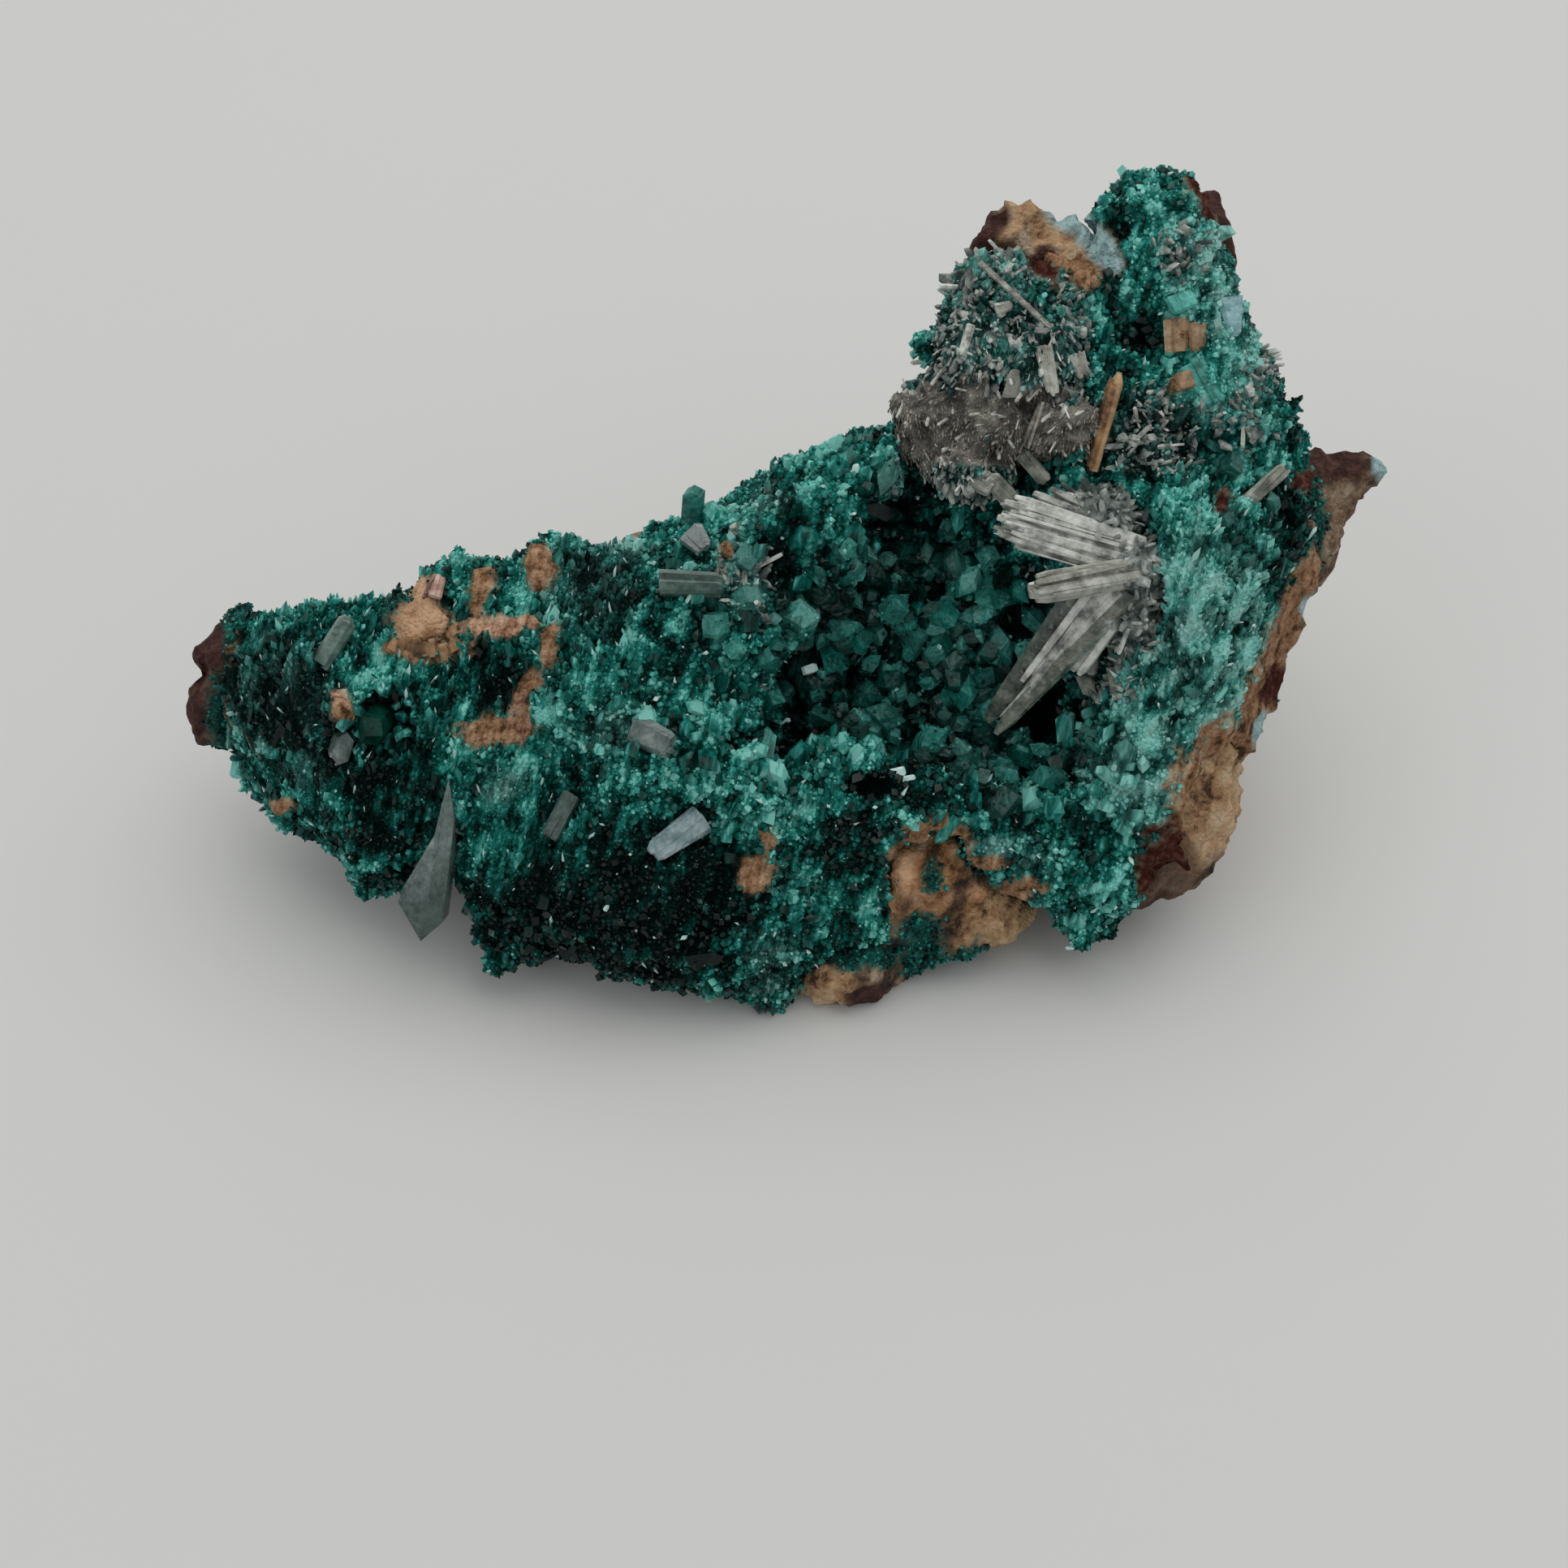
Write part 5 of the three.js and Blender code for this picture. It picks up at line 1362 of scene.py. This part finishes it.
# Blades and blocks of the thicket and the tower, each laid in from one end to the other: across,
# up and height over what they lie on at both ends, width, thickness, narrowing, laths and finish
LAID_IN = [
    ("thicket_pale_blade", (15.9, 44.3, -0.3), (16.7, 41.2, 1.0), 0.9, 0.6, 0.6, 3, creamy_blade),
    ("thicket_small_wedge", (14.3, 41.2, 0.1), (14.2, 42.9, 0.5), 0.9, 0.5, 0.3, 1, creamy_blade),
    ("thicket_right_block", (17.9, 43.9, 0.0), (18.5, 42.4, 0.6), 0.8, 0.5, 0.6, 3, creamy_blade),
    ("thicket_fan", (17.9, 41.6, 0.1), (16.6, 37.2, 0.8), 2.2, 0.7, 1.1, 12, brown_grey),
    ("thicket_fan_left", (16.3, 40.9, 0.1), (15.3, 38.0, 0.6), 1.0, 0.6, 1.0, 6, brown_grey),
    ("thicket_upper_chip", (13.0, 46.5, 0.2), (14.2, 46.9, 0.5), 0.45, 0.4, 0.5, 1, creamy_blade),
    ("thicket_left_fibres", (11.5, 45.6, 0.0), (10.8, 43.4, 0.5), 0.5, 0.5, 0.7, 3, blade),
    ("thicket_far_left_fibres", (10.4, 45.8, -0.2), (9.9, 42.8, 0.4), 0.7, 0.6, 0.8, 3, blade),
    ("thicket_foot_lath", (14.9, 37.9, 0.0), (16.5, 36.0, 1.6), 0.6, 0.5, 0.8, 2, beige),
    ("thicket_low_lath", (11.2, 36.3, 0.1), (12.8, 35.5, 1.4), 0.5, 0.5, 0.8, 2, beige),
    ("thicket_grey_block", (6.4, 37.6, 0.0), (6.5, 35.0, 0.5), 1.5, 0.9, 0.9, 3, bluish),
    ("tower_turquoise_block", (24.4, 47.5, 0.0), (24.8, 46.4, 0.3), 1.3, 0.8, 0.8, 3, turquoise),
    ("tower_tan_block", (24.5, 46.1, 0.1), (24.6, 43.9, 0.1), 1.4, 0.9, 0.8, 3, tan),
    ("tower_tan_block_right", (25.6, 45.8, 0.0), (25.6, 44.0, 0.0), 0.8, 0.9, 0.7, 2, tan),
    ("tower_small_tan_block", (24.7, 42.7, 0.1), (25.0, 41.6, 0.2), 0.9, 0.8, 0.8, 1, tan),
    ("tower_turquoise_blob", (25.3, 43.5, 0.0), (26.7, 40.8, 0.3), 1.5, 1.0, 0.6, 4, turquoise),
    ("tower_blue_slab", (27.6, 47.6, 0.1), (28.0, 44.8, 0.2), 0.8, 0.5, 0.3, 1, pale_blue_slab),
    ("arm_crumb_1", (-25.6, 25.2, -0.3), (-25.1, 25.9, 0.0), 0.5, 0.5, 0.7, 1, orange),
    ("arm_crumb_2", (-24.9, 24.8, -0.3), (-24.6, 25.9, 0.1), 0.6, 0.5, 0.6, 2, orange),
    ("arm_crumb_3", (-24.2, 25.0, -0.3), (-24.0, 26.2, 0.2), 0.7, 0.5, 0.7, 2, orange),
    ("arm_crumb_4", (-23.4, 24.6, -0.3), (-23.3, 25.9, 0.1), 0.6, 0.5, 0.5, 2, orange),
    ("arm_crumb_5", (-22.6, 24.9, -0.3), (-22.7, 26.1, 0.2), 0.7, 0.5, 0.6, 2, orange),
    ("arm_crumb_6", (-21.8, 24.7, -0.3), (-22.1, 25.8, 0.1), 0.5, 0.5, 0.8, 1, orange),
    ("arm_crumb_7", (-21.0, 25.2, -0.3), (-21.4, 26.0, 0.0), 0.5, 0.5, 0.6, 1, orange),
    ("arm_pink_nub", (-22.8, 28.6, 0.0), (-22.5, 30.0, 0.4), 0.9, 0.8, 0.7, 4, rosy),
    # Painted highlights: the glint pieces are near-white bars where sparkles show
    ("glint_hollow", (1.6, 24.2, 0.3), (1.8, 23.6, 0.5), 0.6, 0.4, 0.9, 1, painted_glint),
    ("glint_ridge", (4.0, 36.8, 0.3), (4.8, 36.9, 0.5), 0.5, 0.4, 0.7, 2, painted_glint),
    ("glint_bar_1", (6.8, 17.6, 0.2), (7.8, 17.8, 0.5), 0.3, 0.3, 0.8, 1, painted_glint),
    ("glint_bar_2", (7.3, 17.2, 0.2), (8.4, 17.4, 0.5), 0.3, 0.3, 0.8, 1, painted_glint),
    ("glint_bar_3", (7.0, 18.0, 0.1), (8.1, 18.2, 0.4), 0.25, 0.3, 0.8, 1, painted_glint),
    ("glint_flat", (-0.6, 20.2, 0.1), (0.5, 20.6, 0.3), 0.3, 0.3, 0.5, 1, painted_glint),
    ("glint_low", (13.4, 16.6, 0.1), (13.8, 16.0, 0.4), 0.5, 0.4, 0.6, 2, painted_glint),
    ("glint_small", (-0.7, 22.2, 0.1), (-0.5, 21.8, 0.3), 0.3, 0.3, 0.7, 1, painted_glint),
    ("spray_chip_1", (18.6, 24.6, 1.0), (19.6, 24.9, 1.9), 0.6, 0.4, 0.8, 2, creamy_blade),
    ("spray_chip_2", (20.1, 25.2, 0.8), (19.9, 23.6, 1.9), 0.8, 0.4, 0.4, 2, creamy_blade),
    ("spray_chip_3", (19.6, 23.7, 0.8), (19.8, 22.5, 1.6), 0.7, 0.4, 0.6, 1, creamy_blade),
    ("spray_chip_4", (21.5, 24.2, 0.8), (21.3, 22.8, 1.6), 0.8, 0.4, 0.5, 2, creamy_blade),
    ("spray_chip_5", (22.0, 26.2, 0.9), (22.8, 25.5, 1.8), 0.6, 0.4, 0.7, 1, creamy_blade),
    ("spray_chip_6", (16.7, 24.0, -1.5), (16.4, 22.8, -0.6), 0.5, 0.4, 0.5, 1, olive_blade),
]
for name, root, tip, width, thickness, share, strands, finish in LAID_IN:
    ends = [(u, w, where_it_stands(u, w)[0][2] + over) for u, w, over in (root, tip)]
    lay(name, bundle(*ends, width, thickness, share, strands, min(strands, 2)), finish)

# Pale grains and short blades that stand among the green crystals of the tower
PALE_PARTS = [
    (13, 46.8, 3.1, 3), (18.1, 45.8, 1.5, 3), (24, 39.3, 3.9, 2.5), (25.1, 50.3, 1.4, 2.5),
    (29.8, 41.3, 1.3, 2.8), (11, 43.3, 1.8, 1.3), (13.9, 50.8, 1.5, 1.2), (-2.7, 29.8, 1.7, 2.6),
    (22.5, 27, 1.6, 2), (20.5, 23.5, 2.4, 1.6),
]
points = corners_of(ground.data)
thick = patches(seen_from_front(points), PALE_PARTS, 0.4 * knobs(points, 0.7, 13), 0.6)
patchy = thick * ramp(knobs(points, 0.6, 61), -0.45, 0.0) * covered
write_values(ground.data, here=patchy, lie=np.zeros((len(points), 3)), slim=0 * thick)
growth = (grain_shapes, "here", 0.3, 0.16, 0.8, 1.0, 61, sugar)
scatter("tower_pale_grains", ground, "pale_blades", *growth)
growth = (lath_shapes, "here", 1.3, 0.2, 1.6, 1.0, 63, blade)
scatter("tower_pale_blades", ground, "pale_blades", *growth)

# Single crystals. A few clear or milky laths, rods and tablets that stand on the green crust, each
# rooted in it: root, tip, width, thickness and how much it narrows.

grey_green = pale_material(
    "grey green laths", (0.02, 0.05, 0.042), (0.07, 0.13, 0.11), (0.20, 0.30, 0.26), 0.5, 0.3
)
smoky = pale_material(
    "smoky crystals", (0.03, 0.055, 0.05), (0.11, 0.16, 0.145), (0.30, 0.38, 0.35), 0.45, 0.3
)
sea_green = pale_material(
    "sea green laths", (0.008, 0.03, 0.024), (0.035, 0.085, 0.068), (0.11, 0.20, 0.165), 0.6, 0.2
)
rust = pale_material(
    "rusty lath", (0.09, 0.045, 0.02), (0.34, 0.18, 0.078), (0.54, 0.35, 0.19), 0.8, 0.0
)
SINGLES = [
    ("tower_needle", (12.2, 49.6, 0.6), (16.3, 45.2, 4.4), 0.2, 0.35, 0.8, beige, 1),
    ("tower_rust_lath", (19.2, 36.6, 2.6), (20.6, 42.8, 3.4), 0.55, 0.7, 1.3, rust, 2),
    ("right_rod", (28.4, 34, 1.6), (31.6, 37, 1.6), 0.8, 0.8, 0.7, beige, 3),
    ("arm_lath", (-30, 24.2, 0.6), (-27.8, 27.4, 0), 0.9, 0.8, 0.7, grey_green, 2),
    ("arm_block", (-28.9, 19.2, 0.8), (-28.3, 19, 2.4), 1.3, 1, 0.9, smoky, 2),
    ("front_tablet", (-5.2, 14.9, 3.4), (-8.6, 12.8, 5.2), 1.35, 0.9, 0.7, bluish, 2),
    ("shoulder_tablet", (-6, 32.8, 0.8), (-5.0, 31.8, 3.0), 1.3, 0.7, 0.5, smoky, 2),
    ("shoulder_lath", (-8, 29.8, 4), (-3.8, 29.6, 4.4), 1.2, 1, 0.8, sea_green, 3),
    ("front_stub", (-9.6, 20.6, 4), (-6.8, 19.6, 5.4), 1.2, 1, 0.7, smoky, 2),
    ("ledge_lath", (-13.6, 16.2, 2.4), (-15, 13.6, 4.2), 0.8, 0.7, 0.7, grey_green, 2),
    ("hollow_splinter", (14.4, 34.6, 2.2), (12.4, 36.6, 4.6), 0.9, 0.8, 0.7, beige, 3),
]
for name, root, tip, width, thickness, share, finish, strands in SINGLES:
    made = bundle(root, tip, width, thickness, share, strands, layers=1 if strands < 3 else 2)
    lay(name + "_crystal", made, finish, "rust" if finish is rust else "clear_crystal", name)

# The long clear wedge at the lower left, thin at the top and pointed below its broad foot
WEDGE_OUTLINE = [
    (-21.5, 17.3), (-22.5, 13.6), (-24.6, 10.2), (-25.0, 9.2),
    (-23.6, 6.6), (-22.2, 7.8), (-21.6, 11.6), (-21.2, 14.6),
]
WEDGE_BACK, WEDGE_FRONT, WEDGE_RIDGE = 0.3, 2.8, 3.5
count = len(WEDGE_OUTLINE)
wedge_corners = [(u, w, WEDGE_BACK) for u, w in WEDGE_OUTLINE]
wedge_corners += [(u, w, WEDGE_FRONT) for u, w in WEDGE_OUTLINE]
wedge_corners += [(-21.9, 14.4, WEDGE_RIDGE - 0.2), (-22.9, 9.4, WEDGE_RIDGE)]
top, low = 2 * count, 2 * count + 1
wedge_faces = [tuple(range(count))]
wedge_faces += [((i + 1) % count, i, count + i, count + (i + 1) % count) for i in range(count)]
for i in range(count):
    wedge_faces.append((count + (i + 1) % count, count + i, top if i in (0, 7, 6) else low))
wedge_faces += [(count + 6, low, top), (count + 1, top, low)]
foot_share = [min(max((13.6 - w) / 4, 0), 1) for u, w, over in wedge_corners]
wedge_mesh = joined("left_wedge_crystal", [(wedge_corners, wedge_faces)], foot=foot_share)
turn_faces_out(wedge_mesh)
clear_wedge, tree, shader = new_material("clear wedge")
speckle, height = grain_in(tree, 900, 1.6)
drawn_out = plus(speckle, streak_in(tree, 900, 0.8))
thin_part = ramp_of(drawn_out, (0.2, (0.12, 0.18, 0.165)), (0.8, (0.46, 0.56, 0.53)))
foot_part = ramp_of(drawn_out, (0.2, (0.015, 0.045, 0.037)), (0.8, (0.17, 0.25, 0.225)))
feed(
    shader,
    base_color=blend_of(painted(tree, "foot"), thin_part, foot_part),
    roughness=0.16,
    ior=PALE_IOR,
    specular_ior_level=0.4,
    transmission_weight=0.45,
    normal=rough_skin(height, 0.2, 0.8),
)
wedge = add_object("left_wedge_crystal", wedge_mesh)
seat(wedge, "clear_crystal", clear_wedge, "left_wedge")

# The upright crystal on the ridge and the dark window crystal in the arm
window, tree, shader = new_material("dark clear window")
speckle, height = grain_in(tree, 1200, 1.5)
feed(
    shader,
    base_color=ramp_of(speckle, (0.3, (0.001, 0.018, 0.012)), (0.9, (0.005, 0.075, 0.052))),
    roughness=0.3,
    specular_ior_level=0.12,
    normal=rough_skin(height, 0.06, 0.5),
)
# Node, foot, axis, radius, length, tone, how grey and finish
GREENS = [
    ("ridge_crystal", (-6, 33.4, -1.6), (0.1, 1, 0.3), 0.65, 2.6, 0.5, 0.2, clear_green),
    ("arm_crystal", (-26.1, 21, -1), (-0.1, -0.2, 1), 1.0, 4.5, 0.06, 0.0, window),
]
for name, foot, axis, radius, length, tone, pale, finish in GREENS:
    corners, faces = crystal_shape(0.14, 0.15)
    stood = standing(corners, np.array(foot), axis, radius, length, 0.3)
    flat = np.ones(len(corners))
    values = {"tone": tone * flat, "tip": corners[:, 2], "pale": pale * flat}
    mesh = joined(name + "_clear", [(stood, faces)], **values)
    seat(add_object(name + "_clear", mesh), "dark_dioptase", finish, name)

# Dark crystals that close in round the window crystal, in two rings level with the crust outside
parts, shades = [], {"tone": [], "tip": [], "pale": []}
WINDOW = (-26.1, 21)
for away, count in ((1.25, 11), (1.85, 14)):
    for turn in np.arange(count) * 2 * math.pi / count:
        out = np.array([math.cos(turn), math.sin(turn) * 1.1, 0])
        beside = np.array([*WINDOW, 0]) + 2.7 * out
        crust_height = where_it_stands(beside[0], beside[1])[0][2]
        foot = np.array([*WINDOW, crust_height - 1.4]) + out * away
        lean = np.array([0, 0, 1]) + 0.2 * out + random.uniform(-0.35, 0.35, 3)
        radius, length = random.uniform(0.3, 0.5), random.uniform(1.2, 1.9)
        stand_in_hollow(foot, lean, radius, length, random.uniform(0.1, 0.6), 0.2)
mesh = joined("arm_window_neighbours", parts, **shades)
seat(add_object("arm_window_neighbours", mesh), "dioptase", small_green)

# The table, the light and the camera. The specimen lies on a pale matt table under one broad soft
# lamp overhead, a little behind it and to the right, and is seen from above its front.

floor_mesh = bpy.data.meshes.new("table_top")
floor_mesh.from_pydata([(-2, -2, 0), (2, -2, 0), (2, 2, 0), (-2, 2, 0)], [], [(0, 1, 2, 3)])
floor = add_object("table_top", floor_mesh)
table_paint, tree, shader = new_material("pale table")
speckle, _ = grain_in(tree, 60, 0.12)
feed(
    shader,
    base_color=ramp_of(speckle, (0.0, (0.62, 0.62, 0.60)), (1.0, (0.70, 0.70, 0.68))),
    roughness=0.7,
)
floor.data.materials.append(table_paint)

world = bpy.data.worlds.new("room")
world.use_nodes = True
feed(world.node_tree.nodes["Background"], color=(0.86, 0.88, 0.9, 1), strength=0.52)
bpy.context.scene.world = world

# Each lamp: place, size, power and colour
LAMPS = {
    "lamp_overhead": ((0.08, 0.16, 0.55), (0.9, 0.7), 2.2, (1, 0.985, 0.96)),
    "lamp_window": ((-0.35, -0.2, 0.35), (0.25, 0.25), 0.15, (0.93, 0.97, 1)),
}
AIM = Vector((0, 0, 0.015))
for name, (place, size, power, colour) in LAMPS.items():
    light = bpy.data.lights.new(name, "AREA")
    light.shape = "RECTANGLE"
    light.size, light.size_y = size
    light.energy, light.color = power, colour
    lamp = add_object(name, light)
    lamp.location = place
    lamp.rotation_euler = (AIM - lamp.location).to_track_quat("-Z", "Y").to_euler()

lens = bpy.data.cameras.new("camera")
lens.lens, lens.sensor_width = 42.2, 36
lens.clip_start, lens.clip_end = 0.005, 10
camera = add_object("camera", lens)
camera.location = (0.00043, -0.08396, 0.1071)
camera.rotation_euler = (math.radians(38), 0, 0)
bpy.context.scene.camera = camera
bpy.context.scene.view_settings.view_transform = "Standard"
